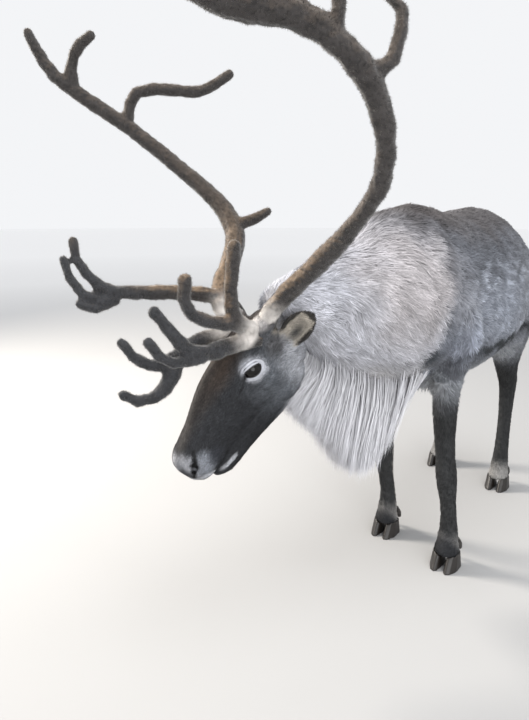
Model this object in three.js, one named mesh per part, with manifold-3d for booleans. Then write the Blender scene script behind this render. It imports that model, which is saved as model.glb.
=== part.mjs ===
// A life-size bull reindeer in velvet, standing with its head lowered to graze and turned to its right.
// Millimetres, +Z up, the body heading towards -X and its left side towards -Y.
// The origin is on the floor, under the middle of the whole model's box.
import * as THREE from 'three';
import { mergeVertices } from 'three/addons/utils/BufferGeometryUtils.js';
import Module from 'manifold-3d';

const wasm = await Module();
wasm.setup();

// Driving dimensions of the body
const WITHERS_HEIGHT = 1085;
const BELLY_HEIGHT = 556;
const BARREL_HALF_WIDTH = 250;
const GAP = 0.3;

// Driving dimensions of the head and its place: the poll is the top of the skull between the antlers
const POLL = new THREE.Vector3(-470, 191, 812);
const HEAD_YAW = 15;
const HEAD_PITCH = 50;
const EYE_RADIUS = 20;
const EYE_PLACE = [134, 62, -18];
const LID_HALF_LENGTH = 22;
const LID_HALF_HEIGHT = 17;
const TEAR_REACH = 7;
const TEAR_DROP = 4;
const EAR_LENGTH = 117;

// Driving dimensions of the legs: where each stands, and how far apart the claws are
const HOOF_LENGTH = 98;
const HOOF_HEIGHT = 50;
const CLAW_WIDTH = 42;
const CLAW_SPREAD = 24;
const SOLE_EDGE = 14;
const TOE_SHARE = 0.6;
const TOE_SLOPE = 0.34;
const HEEL_SLOPE = 0.1;
const CLAW_TAPER = 0.22;
const TOE_NARROWING = 0.25;
const CLAW_CURL = 6;

const V = (x, y, z) => new THREE.Vector3(x, y, z);
const radians = THREE.MathUtils.degToRad;
const X_BACK = V(-1, 0, 0);
const Y_AXIS = V(0, 1, 0);
const Z_AXIS = V(0, 0, 1);

// The head's own axes: forward to the nose, left, and up out of the forehead
const heading = V(-Math.cos(radians(HEAD_YAW)), Math.sin(radians(HEAD_YAW)), 0);
const pitchCos = Math.cos(radians(HEAD_PITCH));
const pitchSin = Math.sin(radians(HEAD_PITCH));
const headForward = heading.clone().multiplyScalar(pitchCos).addScaledVector(Z_AXIS, -pitchSin);
const headUp = heading.clone().multiplyScalar(pitchSin).addScaledVector(Z_AXIS, pitchCos);
const headLeft = headUp.clone().cross(headForward);

// A point given in the head's axes, in the model's
function headPoint([forward, left, up]) {
  return POLL.clone()
    .addScaledVector(headForward, forward)
    .addScaledVector(headLeft, left)
    .addScaledVector(headUp, up);
}

const headDirection = (place) => headPoint(place).sub(POLL).normalize();

// One Catmull-Rom value between b and c
function between(a, b, c, d, f) {
  const bend = 2 * a - 5 * b + 4 * c - d;
  const twist = 3 * b - a - 3 * c + d;
  return 0.5 * (2 * b + (c - a) * f + bend * f ** 2 + twist * f ** 3);
}

// The row at share t along a table of sizes, each column smoothed
function rowAt(rows, t) {
  const last = rows.length - 1;
  const s = THREE.MathUtils.clamp(t, 0, 1) * last;
  const i = Math.min(Math.floor(s), last - 1);
  const [a, b, c, d] = [i - 1, i, i + 1, i + 2].map((k) => rows[THREE.MathUtils.clamp(k, 0, last)]);
  return b.map((_, column) => between(a[column], b[column], c[column], d[column], s - i));
}

const power = (value, exponent) => Math.sign(value) * Math.abs(value) ** exponent;

// A closed surface through rings of points, each end closed by a fan
function loft(rings) {
  const sides = rings[0].length;
  const points = rings.flat();
  const middle = (ring) => ring.reduce((sum, p) => sum.add(p), V(0, 0, 0)).divideScalar(sides);
  const first = points.push(middle(rings[0])) - 1;
  const last = points.push(middle(rings.at(-1))) - 1;
  const faces = [];
  const lastRing = (rings.length - 1) * sides;
  for (let j = 0; j < sides; j++) {
    const k = (j + 1) % sides;
    faces.push([first, k, j]);
    faces.push([last, lastRing + j, lastRing + k]);
    for (let start = 0; start < lastRing; start += sides) {
      faces.push([start + j, start + k, start + sides + k]);
      faces.push([start + j, start + sides + k, start + sides + j]);
    }
  }
  const wedge = ([a, b, c]) => points[a].dot(points[b].clone().cross(points[c]));
  const volume = faces.reduce((sum, face) => sum + wedge(face), 0);
  const index = faces.flatMap(([a, b, c]) => (volume > 0 ? [a, b, c] : [a, c, b]));
  const geometry = new THREE.BufferGeometry().setFromPoints(points);
  geometry.setIndex(index);
  return geometry;
}

// A closed geometry as a solid that can be joined and cut
function solid(geometry) {
  const bare = geometry.clone();
  bare.deleteAttribute('normal');
  bare.deleteAttribute('uv');
  const merged = mergeVertices(bare, 1e-3);
  return new wasm.Manifold(
    new wasm.Mesh({
      numProp: 3,
      vertProperties: new Float32Array(merged.attributes.position.array),
      triVerts: new Uint32Array(merged.index.array),
    }),
  );
}

const join = (solids) => solids.reduce((sum, next) => sum.add(next));
const cut = (body, tools) => tools.reduce((rest, tool) => rest.subtract(tool), body);

// A solid without what lies beyond a plane, given by a point and the direction that is taken away
function trimmed(body, point, away, gap = GAP / 2) {
  const size = 4000;
  const block = new THREE.BoxGeometry(size, size, size);
  const turn = new THREE.Quaternion().setFromUnitVectors(Z_AXIS, away);
  const middle = point.clone().addScaledVector(away, size / 2 - gap);
  block.applyMatrix4(new THREE.Matrix4().compose(middle, turn, V(1, 1, 1)));
  return body.subtract(solid(block));
}

// Only the largest closed surface of a solid, so that no scrap is left
function largest(body) {
  return body.decompose().reduce((best, next) => (next.volume() > best.volume() ? next : best));
}

// A loft of rounded sections. section(t) gives the middle, the side and up directions, the half width, the
// reach up and down, and the fullness of the upper half, where 2 is an ellipse
function bodyLoft(section, steps, sides, grow = 0) {
  const rings = [];
  for (let i = 0; i <= steps; i++) {
    const { middle, side, up, half, above, below, full } = section(i / steps);
    const ring = [];
    for (let j = 0; j < sides; j++) {
      const angle = (2 * Math.PI * j) / sides;
      const c = Math.cos(angle);
      const s = Math.sin(angle);
      const across = (half + grow) * power(c, 2 / (s > 0 ? full : 2.2));
      const high = s > 0 ? (above + grow) * power(s, 2 / full) : (below + grow) * power(s, 2 / 2.2);
      ring.push(middle.clone().addScaledVector(side, across).addScaledVector(up, high));
    }
    rings.push(ring);
  }
  if (grow > 0) {
    for (const [ring, next] of [[rings[0], rings[1]], [rings.at(-1), rings.at(-2)]]) {
      const outward = ring[0].clone().add(ring[sides / 2]).sub(next[0]).sub(next[sides / 2]).setLength(grow);
      ring.forEach((p) => p.add(outward));
    }
  }
  return solid(loft(rings));
}

// A tube along a smooth path, flat at its buried start and round at its tip, or flat there too with point.
// Where wide is over 1 its section is stretched, and the widest one lies along the direction flat
function tube(places, radii, options = {}) {
  const { sides = 8, step = 40, wide = [1], flat = Z_AXIS, grow = 0, point = false } = options;
  const curve = new THREE.CatmullRomCurve3(places);
  const count = Math.max(3, Math.round(curve.getLength() / step));
  const frames = curve.computeFrenetFrames(count, false);
  const sizes = radii.map((r, i) => [r, wide[Math.min(i, wide.length - 1)]]);
  const widest = Math.round((count * wide.indexOf(Math.max(...wide))) / Math.max(1, wide.length - 1));
  const turn = Math.atan2(flat.dot(frames.binormals[widest]), flat.dot(frames.normals[widest]));
  const ringAt = (i, scale, ahead) => {
    const t = i / count;
    const [radius, stretch] = rowAt(sizes, curve.getUtoTmapping(t));
    const size = (radius + grow) * scale;
    const broadSize = (radius * stretch + grow) * scale;
    const middle = curve.getPointAt(t).addScaledVector(frames.tangents[i], ahead * (radius + grow));
    const broad = frames.normals[i].clone().multiplyScalar(Math.cos(turn))
      .addScaledVector(frames.binormals[i], Math.sin(turn));
    const thin = broad.clone().cross(frames.tangents[i]);
    return Array.from({ length: sides }, (_, j) => {
      const angle = (2 * Math.PI * j) / sides;
      return middle.clone()
        .addScaledVector(broad, broadSize * Math.cos(angle))
        .addScaledVector(thin, size * Math.sin(angle));
    });
  };
  const rings = Array.from({ length: count + 1 }, (_, i) => ringAt(i, 1, i === 0 ? -grow / 20 : 0));
  if (!point) {
    rings.push(ringAt(count, 0.82, 0.52), ringAt(count, 0.4, 0.86));
  }
  return solid(loft(rings));
}

// Torso: x, top, bottom, half width and fullness of the back, from the rump to the chest
const TORSO = [
  [800, 830, 760, 22, 2.0],
  [786, 900, 696, 95, 2.0],
  [735, 984, 632, 160, 2.0],
  [650, WITHERS_HEIGHT - 40, 596, 203, 1.95],
  [530, WITHERS_HEIGHT - 6, BELLY_HEIGHT + 18, 226, 1.9],
  [400, WITHERS_HEIGHT - 12, BELLY_HEIGHT + 4, BARREL_HALF_WIDTH - 4, 1.9],
  [270, WITHERS_HEIGHT - 24, BELLY_HEIGHT - 2, BARREL_HALF_WIDTH, 1.9],
  [130, WITHERS_HEIGHT - 18, BELLY_HEIGHT - 8, BARREL_HALF_WIDTH - 12, 1.85],
  [10, WITHERS_HEIGHT, BELLY_HEIGHT - 12, 218, 1.8],
  [-100, WITHERS_HEIGHT - 8, BELLY_HEIGHT - 6, 190, 1.8],
  [-180, 1010, 600, 150, 1.9],
  [-232, 920, 680, 95, 2.0],
  [-250, 840, 740, 25, 2.0],
];
const WIDEST_LEVEL = 0.44;

function torsoSection(t) {
  const [x, top, bottom, half, full] = rowAt(TORSO, t);
  const level = bottom + (top - bottom) * WIDEST_LEVEL;
  const middle = V(x, 0, level);
  return { middle, side: Y_AXIS, up: Z_AXIS, half, above: top - level, below: level - bottom, full };
}

// Neck, from the chest to the poll: middle x, y and z, reach above and below, half width, and the tilt and
// yaw of the section
const NECK = [
  [60, 0, 830, 190, 190, 140, 0, 0],
  [-60, 4, 832, 243, 250, 190, 2, 4],
  [-160, 24, 826, 226, 250, 188, 6, 10],
  [-240, 60, 808, 190, 232, 170, 12, 16],
  [-300, 98, 788, 160, 196, 150, 18, 20],
  [-348, 132, 772, 142, 160, 130, 26, 22],
  [-386, 158, 764, 116, 126, 106, 34, 20],
  [-410, 170, 758, 62, 70, 56, 40, 18],
];

function neckSection(t) {
  const [x, y, z, above, below, half, tilt, yaw] = rowAt(NECK, t);
  const ahead = V(-Math.cos(radians(yaw)), Math.sin(radians(yaw)), 0);
  const side = Z_AXIS.clone().cross(ahead);
  const lean = radians(tilt);
  const up = Z_AXIS.clone().multiplyScalar(Math.cos(lean)).addScaledVector(ahead, Math.sin(lean));
  return { middle: V(x, y, z), side, up, half, above, below, full: 1.95 };
}

// Head from the nape to the nose, in its own axes: forward, top, bottom, half width and the fullness of the
// upper half
const SKULL = [
  [-52, -50, -100, 26, 2.0],
  [-38, -18, -140, 54, 2.0],
  [0, 6, -176, 72, 2.0],
  [45, 20, -192, 78, 2.1],
  [90, 29, -194, 82, 2.2],
  [135, 36, -184, 79, 2.2],
  [180, 40, -166, 68, 2.1],
  [225, 40, -150, 59, 2.0],
  [270, 31, -138, 51, 1.9],
  [315, 16, -130, 47, 1.95],
  [356, 6, -124, 50, 2.1],
  [390, -4, -114, 50, 2.2],
  [413, -18, -98, 40, 2.2],
  [424, -38, -80, 18, 2.0],
];
const JAW = [
  [36, -60, -214, 40, 2.4],
  [100, -40, -224, 58, 2.4],
  [160, -30, -217, 58, 2.4],
  [220, -48, -200, 50, 2.4],
  [268, -82, -185, 45, 2.4],
  [330, -97, -169, 43, 2.4],
  [366, -101, -157, 38, 2.2],
  [387, -108, -139, 18, 2.0],
];

function headSection(rows) {
  return (t) => {
    const [forward, top, bottom, half, full] = rowAt(rows, t);
    const level = (top + bottom) / 2;
    const middle = headPoint([forward, 0, level]);
    return { middle, side: headLeft, up: headUp, half, above: top - level, below: level - bottom, full };
  };
}

// A round boss with three half sizes along the head's axes
function boss(place, halves, grow = 0) {
  const ball = new THREE.SphereGeometry(1, 12, 7);
  const directions = [headForward, headLeft, headUp];
  const axes = directions.map((axis, i) => axis.clone().multiplyScalar(halves[i] + grow));
  ball.applyMatrix4(new THREE.Matrix4().makeBasis(...axes).setPosition(headPoint(place)));
  return solid(ball);
}

const LEFT = 1;
const RIGHT = -1;
const bothSides = [['left', LEFT], ['right', RIGHT]];
const sided = ([forward, left, up], side) => [forward, left * side, up];

// Eyelids: an almond ring round the eye, drawn out to the tear duct in front
function eyelids(side) {
  const ring = new THREE.TorusGeometry(1, 0.2, 4, 14);
  const place = ring.getAttribute('position');
  for (let i = 0; i < place.count; i++) {
    const x = place.getX(i);
    const corner = Math.max(0, x) ** 3;
    const high = place.getY(i) * (LID_HALF_HEIGHT - 5 * corner) - TEAR_DROP * corner;
    place.setXYZ(i, x * LID_HALF_LENGTH + TEAR_REACH * corner, high, place.getZ(i) * EYE_RADIUS);
  }
  const out = headDirection([0.22, 0.92 * side, 0.3]);
  const along = headForward.clone().addScaledVector(out, -headForward.dot(out)).normalize();
  const across = out.clone().cross(along);
  const [forward, left, up] = sided(EYE_PLACE, side);
  const middle = headPoint([forward, left, up]).addScaledVector(out, 10);
  ring.applyMatrix4(new THREE.Matrix4().makeBasis(along, across, out).setPosition(middle));
  return solid(ring);
}

function eyeball(side, grow = 0) {
  const ball = new THREE.SphereGeometry(EYE_RADIUS + grow, 12, 8);
  ball.translate(...headPoint(sided(EYE_PLACE, side)).toArray());
  return ball;
}

// A nostril: a comma that opens forward and to the side
function nostril(side) {
  const places = [[380, 52, -26], [396, 44, -34], [406, 34, -48], [400, 40, -64]];
  const path = places.map((place) => headPoint(sided(place, side)));
  return tube(path, [4, 8, 8, 3.5], { sides: 7, step: 12 });
}

// Ear: a leaf-shaped cup. Its sections are crescents, thicker at the root
const EAR_ROOT = [40, 72, -50];
const EAR_ALONG = [-0.62, 0.66, 0.3];
const EAR_OPENS = [0.55, 0.6, 0.5];
const EAR = [
  [-0.12, 16, 10, 17],
  [0.02, 20, 13, 15],
  [0.18, 27, 17, 8],
  [0.36, 32, 19, 6],
  [0.56, 33, 17, 5],
  [0.76, 28, 12, 5],
  [0.92, 17, 6, 4],
  [1.0, 5, 2, 3],
];

function ear(side, grow = 0) {
  const along = headDirection(sided(EAR_ALONG, side));
  const opening = headDirection(sided(EAR_OPENS, side));
  const facing = opening.addScaledVector(along, -opening.dot(along)).normalize();
  const across = along.clone().cross(facing);
  const root = headPoint(sided(EAR_ROOT, side));
  const half = 7;
  const steps = 9;
  const rings = [];
  for (let i = 0; i <= steps; i++) {
    const [share, width, depth, thick] = rowAt(EAR, i / steps);
    const reach = share * EAR_LENGTH + grow * Math.sign(i - 1);
    const middle = root.clone().addScaledVector(along, reach);
    const arc = (wide, drop) => Array.from({ length: half }, (_, j) => {
      const angle = (Math.PI * j) / (half - 1);
      return middle.clone()
        .addScaledVector(across, wide * Math.cos(angle))
        .addScaledVector(facing, -drop * Math.sin(angle));
    });
    const inner = arc(width - thick * 0.6, Math.max(depth - thick, 0.5) - grow).reverse();
    const rise = thick * 0.25 + grow;
    rings.push([...arc(width + grow, depth + grow), ...inner.map((p) => p.addScaledVector(facing, rise))]);
  }
  return solid(loft(rings));
}

// Antlers, in the head's axes. Each branch is a path and its radii, and wide makes a flattened blade
const CROWN_STARTS = { left: 0.56, right: 0.75 };
const ANTLERS = {
  left: {
    beam: {
      rows: [
        [46, 46, -2, 26.5], [-10, 81, 35, 24.5], [-111, 221, 99, 24], [-168, 330, 162, 19],
        [-207, 408, 227, 19.5], [-245, 436, 301, 20], [-279, 431, 375, 24], [-292, 407, 441, 23],
        [-296, 352, 514, 24], [-276, 277, 575, 26], [-275, 197, 637, 21.5], [-311, 123, 703, 13],
      ],
      wide: [1, 1, 1, 1, 1, 1, 1, 1, 1.1, 1.25, 1.1, 1],
      flat: [-0.5, 0, 0.85],
    },
    bez: [
      {
        rows: [
          [50, 45, 18, 24], [63, 61, 58, 20], [72, 68, 95, 20], [40, 66, 144, 16.5],
          [15, 68, 162, 15.5], [-15, 70, 182, 16.5], [-53, 72, 209, 17],
        ],
      },
      {
        rows: [
          [71, 67, 77, 19], [92, 67, 121, 17], [112, 64, 154, 16.5], [124, 55, 205, 17],
          [112, 52, 229, 16], [94, 53, 248, 16.5], [75, 56, 259, 16.5],
        ],
      },
    ],
    brow: [
      {
        rows: [
          [62, 51, 6, 24], [131, 53, 76, 22.5], [164, 55, 104, 20.5], [189, 53, 150, 19.5],
          [186, 45, 180, 17.5], [171, 32, 233, 14.5], [163, 26, 260, 14.5],
        ],
      },
      {
        rows: [
          [180, 57, 114, 18], [209, 55, 142, 15.5], [228, 51, 163, 13.5], [236, 45, 183, 13.5],
          [235, 37, 206, 13.5], [224, 30, 234, 13.5],
        ],
      },
    ],
    crown: [
      {
        rows: [
          [-293, 432, 379, 18], [-311, 442, 372, 15.5], [-340, 449, 377, 14], [-401, 446, 410, 12.5],
          [-412, 431, 431, 12], [-411, 413, 449, 12], [-401, 398, 462, 11],
        ],
      },
      {
        rows: [
          [-292, 400, 454, 16], [-319, 403, 472, 13], [-341, 403, 490, 13], [-366, 397, 514, 12],
          [-386, 387, 540, 11],
        ],
      },
      {
        rows: [
          [-293, 348, 518, 17.5], [-319, 341, 544, 13.5], [-347, 327, 580, 12.5],
          [-368, 307, 619, 11.5],
        ],
      },
      {
        rows: [
          [-276, 275, 578, 18], [-301, 265, 605, 14], [-328, 246, 643, 13], [-347, 222, 682, 11.5],
        ],
      },
    ],
  },
  right: {
    beam: {
      rows: [
        [56, -50, -1, 22.5], [14, -104, 52, 24], [-33, -133, 56, 25.5], [-136, -175, 50, 27],
        [-212, -218, 67, 29.5], [-266, -296, 132, 25], [-294, -385, 221, 22.5],
        [-319, -496, 372, 21.5], [-314, -552, 475, 21.5], [-313, -598, 579, 19],
        [-326, -613, 618, 17.5], [-361, -630, 682, 14],
      ],
    },
    bez: [
      {
        rows: [
          [-6, -110, 50, 22], [51, -133, 146, 19.5], [95, -149, 206, 19], [149, -175, 286, 16],
          [151, -186, 315, 14.5], [122, -213, 390, 12], [100, -213, 405, 11.5],
        ],
      },
      {
        rows: [
          [146, -169, 260, 17], [182, -174, 290, 14.5], [189, -190, 330, 13], [175, -205, 367, 12.5],
          [148, -214, 399, 11.5],
        ],
      },
      {
        rows: [
          [150, -168, 258, 15.5], [195, -173, 284, 14.5], [213, -176, 298, 13], [212, -185, 319, 12],
        ],
      },
    ],
    brow: [
      {
        rows: [
          [62, -43, 1, 22.5], [114, -48, 63, 19.5], [145, -51, 83, 20.5], [219, -56, 109, 22.5],
          [246, -62, 135, 16.5], [253, -87, 201, 13.5], [242, -93, 223, 12.5],
        ],
      },
      {
        rows: [
          [205, -54, 101, 21.5], [250, -43, 92, 22], [290, -43, 95, 18], [322, -50, 112, 15],
          [339, -61, 139, 13.5], [339, -71, 161, 12],
        ],
      },
    ],
    back_tine: [
      {
        rows: [
          [-338, -502, 381, 20], [-370, -499, 400, 17.5], [-405, -483, 409, 17.5],
          [-456, -429, 361, 18], [-487, -393, 314, 17], [-525, -367, 290, 16.5], [-584, -340, 277, 14],
        ],
      },
    ],
    rear_tine: [
      {
        rows: [
          [-215, -221, 67, 20.5], [-244, -197, 56, 17], [-268, -179, 45, 15.5], [-293, -163, 38, 13.5],
        ],
      },
    ],
    crown: [
      {
        rows: [
          [-323, -575, 534, 20.5], [-356, -571, 564, 17], [-395, -554, 580, 16],
          [-424, -530, 582, 15.5], [-436, -517, 580, 14.5],
        ],
      },
    ],
  },
};

function branch({ rows, wide = [1], flat = [0, 0, 1] }, grow = 0) {
  const radii = rows.map((row) => row[3]);
  return tube(rows.map(headPoint), radii, { wide, flat: headDirection(flat), grow });
}

// The point and the direction of the beam where its crown starts
function crownStart(sideName) {
  const curve = new THREE.CatmullRomCurve3(ANTLERS[sideName].beam.rows.map(headPoint));
  const share = CROWN_STARTS[sideName];
  return { point: curve.getPointAt(share), ahead: curve.getTangentAt(share) };
}

function antlerNodes(sideName, head) {
  const { beam, crown, brow, ...tines } = ANTLERS[sideName];
  const { point, ahead } = crownStart(sideName);
  const behind = ahead.clone().negate();
  const grownBeam = branch(beam, GAP);
  const grownLower = trimmed(grownBeam, point, ahead, -GAP / 2);
  const upperBeam = trimmed(branch(beam), point, behind);
  const nodes = {
    beam: trimmed(branch(beam), point, ahead),
    crown: cut(join([upperBeam, ...crown.map((tine) => branch(tine))]), [grownLower]),
  };
  for (const [name, branches] of Object.entries(tines)) {
    nodes[name] = cut(join(branches.map((tine) => branch(tine))), [grownBeam, head]);
  }
  const grownBez = join(tines.bez.map((tine) => branch(tine, GAP)));
  nodes.brow = cut(join(brow.map((tine) => branch(tine))), [grownBeam, grownBez, head]);
  return { nodes, grownLower };
}

// Legs from the body down: height, half depth fore and aft, and half width
const FORE_LEG = [
  [930, 60, 34],
  [840, 108, 72],
  [730, 112, 78],
  [640, 80, 58],
  [560, 55, 41],
  [470, 40, 34],
  [370, 31, 28],
  [310, 34, 31],
  [265, 32, 31],
  [210, 25, 25],
  [140, 24, 25],
  [100, 30, 30],
  [72, 32, 33],
  [50, 36, 38],
  [40, 30, 32],
];
const HIND_LEG = [
  [980, 90, 50],
  [900, 142, 84],
  [790, 162, 96],
  [690, 146, 86],
  [610, 118, 66],
  [530, 76, 46],
  [465, 53, 35],
  [420, 46, 31],
  [370, 34, 28],
  [290, 27, 25],
  [200, 26, 25],
  [130, 28, 28],
  [98, 31, 32],
  [72, 33, 34],
  [50, 36, 38],
  [40, 30, 32],
];

// Where each leg's middle passes: x and y at heights from the body down to the hoof
const LEGS = {
  fore_left: {
    sizes: FORE_LEG,
    top: 596,
    course: [
      [-60, -110, 930], [-20, -150, 740], [22, -124, 600], [26, -126, 440], [26, -142, 290],
      [34, -158, 130], [16, -164, 40],
    ],
  },
  fore_right: {
    sizes: FORE_LEG,
    top: 596,
    course: [
      [-20, 106, 930], [40, 146, 740], [104, 98, 600], [98, 88, 440], [82, 88, 290], [110, 78, 130],
      [94, 72, 40],
    ],
  },
  hind_left: {
    sizes: HIND_LEG,
    top: 640,
    course: [
      [600, -96, 980], [592, -142, 800], [574, -146, 640], [656, -132, 500], [716, -130, 415],
      [700, -134, 130], [672, -138, 40],
    ],
  },
  hind_right: {
    sizes: HIND_LEG,
    top: 640,
    course: [
      [610, 96, 980], [606, 142, 800], [604, 146, 640], [708, 132, 500], [778, 128, 415],
      [782, 130, 130], [756, 132, 40],
    ],
  },
};

const LEG_FULLNESS = 2.1;

// The middle of a leg at a height
function courseAt(course, z) {
  const i = Math.max(0, Math.min(course.findIndex((place) => place[2] <= z) - 1, course.length - 2));
  const f = THREE.MathUtils.clamp((course[i][2] - z) / (course[i][2] - course[i + 1][2]), 0, 1);
  const at = (k) => course[THREE.MathUtils.clamp(k, 0, course.length - 1)];
  const [a, b, c, d] = [i - 1, i, i + 1, i + 2].map(at);
  return [0, 1].map((axis) => between(a[axis], b[axis], c[axis], d[axis], f));
}

function legSection({ sizes, course }) {
  return (t) => {
    const [z, depth, half] = rowAt(sizes, t);
    const [x, y] = courseAt(course, z);
    const middle = V(x, y, z);
    return { middle, side: Y_AXIS, up: X_BACK, half, above: depth, below: depth, full: LEG_FULLNESS };
  };
}

// One claw of a cloven hoof: a flat sole, a sloping toe, and a face that curves in towards the other claw
function claw(place, side) {
  const [x, y] = place;
  const heights = [0, SOLE_EDGE, HOOF_HEIGHT];
  const sides = 10;
  const rings = heights.map((z) => {
    const rise = z / HOOF_HEIGHT;
    const toe = HOOF_LENGTH * (TOE_SHARE - TOE_SLOPE * rise);
    const heel = HOOF_LENGTH * (1 - TOE_SHARE - HEEL_SLOPE * rise);
    const width = CLAW_WIDTH * (1 - CLAW_TAPER * rise);
    return Array.from({ length: sides }, (_, j) => {
      const angle = (2 * Math.PI * j) / sides;
      const ahead = Math.cos(angle) > 0 ? toe : heel;
      const front = Math.max(0, Math.cos(angle));
      const across = (width / 2) * power(Math.sin(angle), 0.85) * (1 - TOE_NARROWING * front);
      const curl = -side * CLAW_CURL * front ** 2;
      return V(x - ahead * power(Math.cos(angle), 0.8), y + side * CLAW_SPREAD + across + curl, z);
    });
  });
  return solid(loft(rings));
}

// A dewclaw hangs behind the fetlock
function dewclaw([x, y], side) {
  const start = V(x + 20, y + side * 18, 84);
  const bend = start.clone().add(V(20, side * 4, -16));
  const tip = start.clone().add(V(32, side * 6, -40));
  return tube([start, bend, tip], [11, 12, 8], { sides: 5, step: 26 });
}

// Tail: short and flat, hanging against the rump
const TAIL = [
  [744, 0, 970, 20, 22],
  [782, 0, 948, 24, 30],
  [808, 0, 905, 24, 37],
  [819, 0, 850, 22, 37],
  [822, 0, 800, 15, 26],
  [822, 0, 774, 6, 10],
];

function tailSection(t) {
  const [x, y, z, depth, half] = rowAt(TAIL, t);
  const up = V(1, 0, 0.35).normalize();
  return { middle: V(x, y, z), side: Y_AXIS, up, half, above: depth, below: depth, full: 2 };
}

// Throat mane, which hangs under the neck: x, y, top, bottom and half width, from the jaw to the chest
const MANE = [
  [-416, 172, 690, 610, 18],
  [-396, 156, 706, 562, 46],
  [-352, 130, 710, 502, 66],
  [-308, 98, 708, 450, 74],
  [-264, 64, 704, 370, 76],
  [-216, 40, 700, 345, 74],
  [-168, 18, 700, 370, 66],
  [-130, 2, 695, 440, 52],
  [-104, -6, 680, 550, 30],
];

// The core of the mane, narrower than its locks and less than half as long
const CORE_REACH = 0.42;
const CORE_WIDTH = 0.6;
const MANE_SIDE = V(0.35, 0.94, 0).normalize();
const MANE_ALONG = V(0.94, -0.35, 0).normalize();

function maneCoreSection(t) {
  const [x, y, top, bottom, half] = rowAt(MANE, t);
  const level = THREE.MathUtils.lerp(top, bottom, 0.12);
  const below = (level - bottom) * CORE_REACH;
  const middle = V(x, y, level);
  const coreHalf = half * CORE_WIDTH;
  return { middle, side: MANE_SIDE, up: Z_AXIS, half: coreHalf, above: top - level, below, full: 2 };
}

// The mane's locks hang in curtains over a short core. Each curtain starts at an angle round the neck,
// counted from its underside, and the tips make the mane's lower edge
const CURTAINS = [
  { angle: -54, across: -0.6, count: 9 },
  { angle: 54, across: 0.6, count: 7 },
  { angle: -14, across: -0.05, count: 4 },
];
const LOCK_WIDTHS = [4, 24, 33, 34, 27, 5];
const LOCK_THICKNESSES = [3, 7, 8, 8, 6, 1.5];
const LOCK_TILT = 12;
const ROOT_DEPTH = 14;

// A repeatable draw between -1 and 1
let seed = 11;
function draw() {
  seed = (seed * 16807) % 2147483647;
  return (2 * seed) / 2147483647 - 1;
}

// A point off the neck's surface, at an angle from its underside
function neckSurface(t, degreesFromBelow, off) {
  const { middle, side, up, half, below } = neckSection(t);
  const angle = radians(degreesFromBelow);
  return middle.clone()
    .addScaledVector(side, (half + off) * Math.sin(angle))
    .addScaledVector(up, -(below + off) * Math.cos(angle));
}

// A flat tapered lock. It lies on the neck from its sunk root, leaves it, and bends down and in to its tip.
// Each is tilted about its own length, so that it lies over the next one
function maneLock(share, { angle, across }) {
  const t = THREE.MathUtils.lerp(0.94, 0.22, share);
  const [x, y, , bottom, half] = rowAt(MANE, share);
  const tip = V(x + 14 + 8 * draw(), y, bottom - 6 + 14 * draw())
    .addScaledVector(MANE_SIDE, across * half + 6 * draw());
  const leaving = neckSurface(t - 0.03, angle * 0.55, 8);
  const hang = (down, out) => leaving.clone().lerp(tip, down)
    .addScaledVector(MANE_SIDE, Math.sign(across) * out)
    .addScaledVector(MANE_ALONG, -8 + 5 * draw());
  const places = [
    neckSurface(t, angle * 1.3, -ROOT_DEPTH),
    neckSurface(t, angle * 0.95, 2),
    leaving,
    hang(0.4, 17),
    hang(0.76, 12),
    tip,
  ];
  return tube(places, LOCK_THICKNESSES, {
    sides: 4,
    step: places[0].distanceTo(tip) / 4.2,
    wide: LOCK_WIDTHS.map((width, i) => width / LOCK_THICKNESSES[i]),
    flat: MANE_ALONG.clone().addScaledVector(MANE_SIDE, Math.sign(across) * Math.sin(radians(LOCK_TILT))),
    point: true,
  });
}

function maneLocks() {
  return CURTAINS.flatMap((curtain) => Array.from({ length: curtain.count }, (_, i) => {
    const share = 0.06 + (0.92 * (i + 0.5 + 0.22 * draw())) / curtain.count;
    return maneLock(share, curtain);
  }));
}

// Materials
const finish = (color, roughness) => new THREE.MeshStandardMaterial({ color, roughness, metalness: 0 });
const PALE_COAT = finish(0xb9b6b4, 0.95);
const DARK_COAT = finish(0x4b4643, 0.95);
const BACK_COAT = finish(0x6f6862, 0.95);
const VELVET = finish(0x5d5046, 0.9);
const HORN = finish(0x23201e, 0.45);
const EYE = finish(0x0c0a09, 0.05);

const reindeer = new THREE.Group();

function addNode(name, body, material) {
  const kept = largest(body).getMesh();
  const geometry = new THREE.BufferGeometry();
  geometry.setAttribute('position', new THREE.BufferAttribute(new Float32Array(kept.vertProperties), 3));
  geometry.setIndex(new THREE.BufferAttribute(new Uint32Array(kept.triVerts), 1));
  geometry.computeVertexNormals();
  const mesh = new THREE.Mesh(geometry, material);
  mesh.name = name;
  reindeer.add(mesh);
}

// Head: skull, jaw, brows, cheeks and pedicles
function headParts(grow = 0) {
  const brows = bothSides.map(([, side]) => boss([98, 41 * side, 6], [60, 26, 26], grow));
  const cheeks = bothSides.map(([, side]) => boss([92, 46 * side, -140], [72, 32, 52], grow));
  const pedicles = bothSides.map(([, side]) => tube(
    [headPoint([50, 40 * side, -24]), headPoint([36, 54 * side, 12])],
    [34, 31],
    { sides: 10, step: 14, grow },
  ));
  return join([
    bodyLoft(headSection(SKULL), 24, 20, grow),
    bodyLoft(headSection(JAW), 10, 12, grow),
    ...brows,
    ...cheeks,
    ...pedicles,
  ]);
}

const grownHead = headParts(GAP);
const ears = bothSides.map(([, side]) => ear(side));
const antlers = bothSides.map(([name]) => antlerNodes(name, grownHead));

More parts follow.
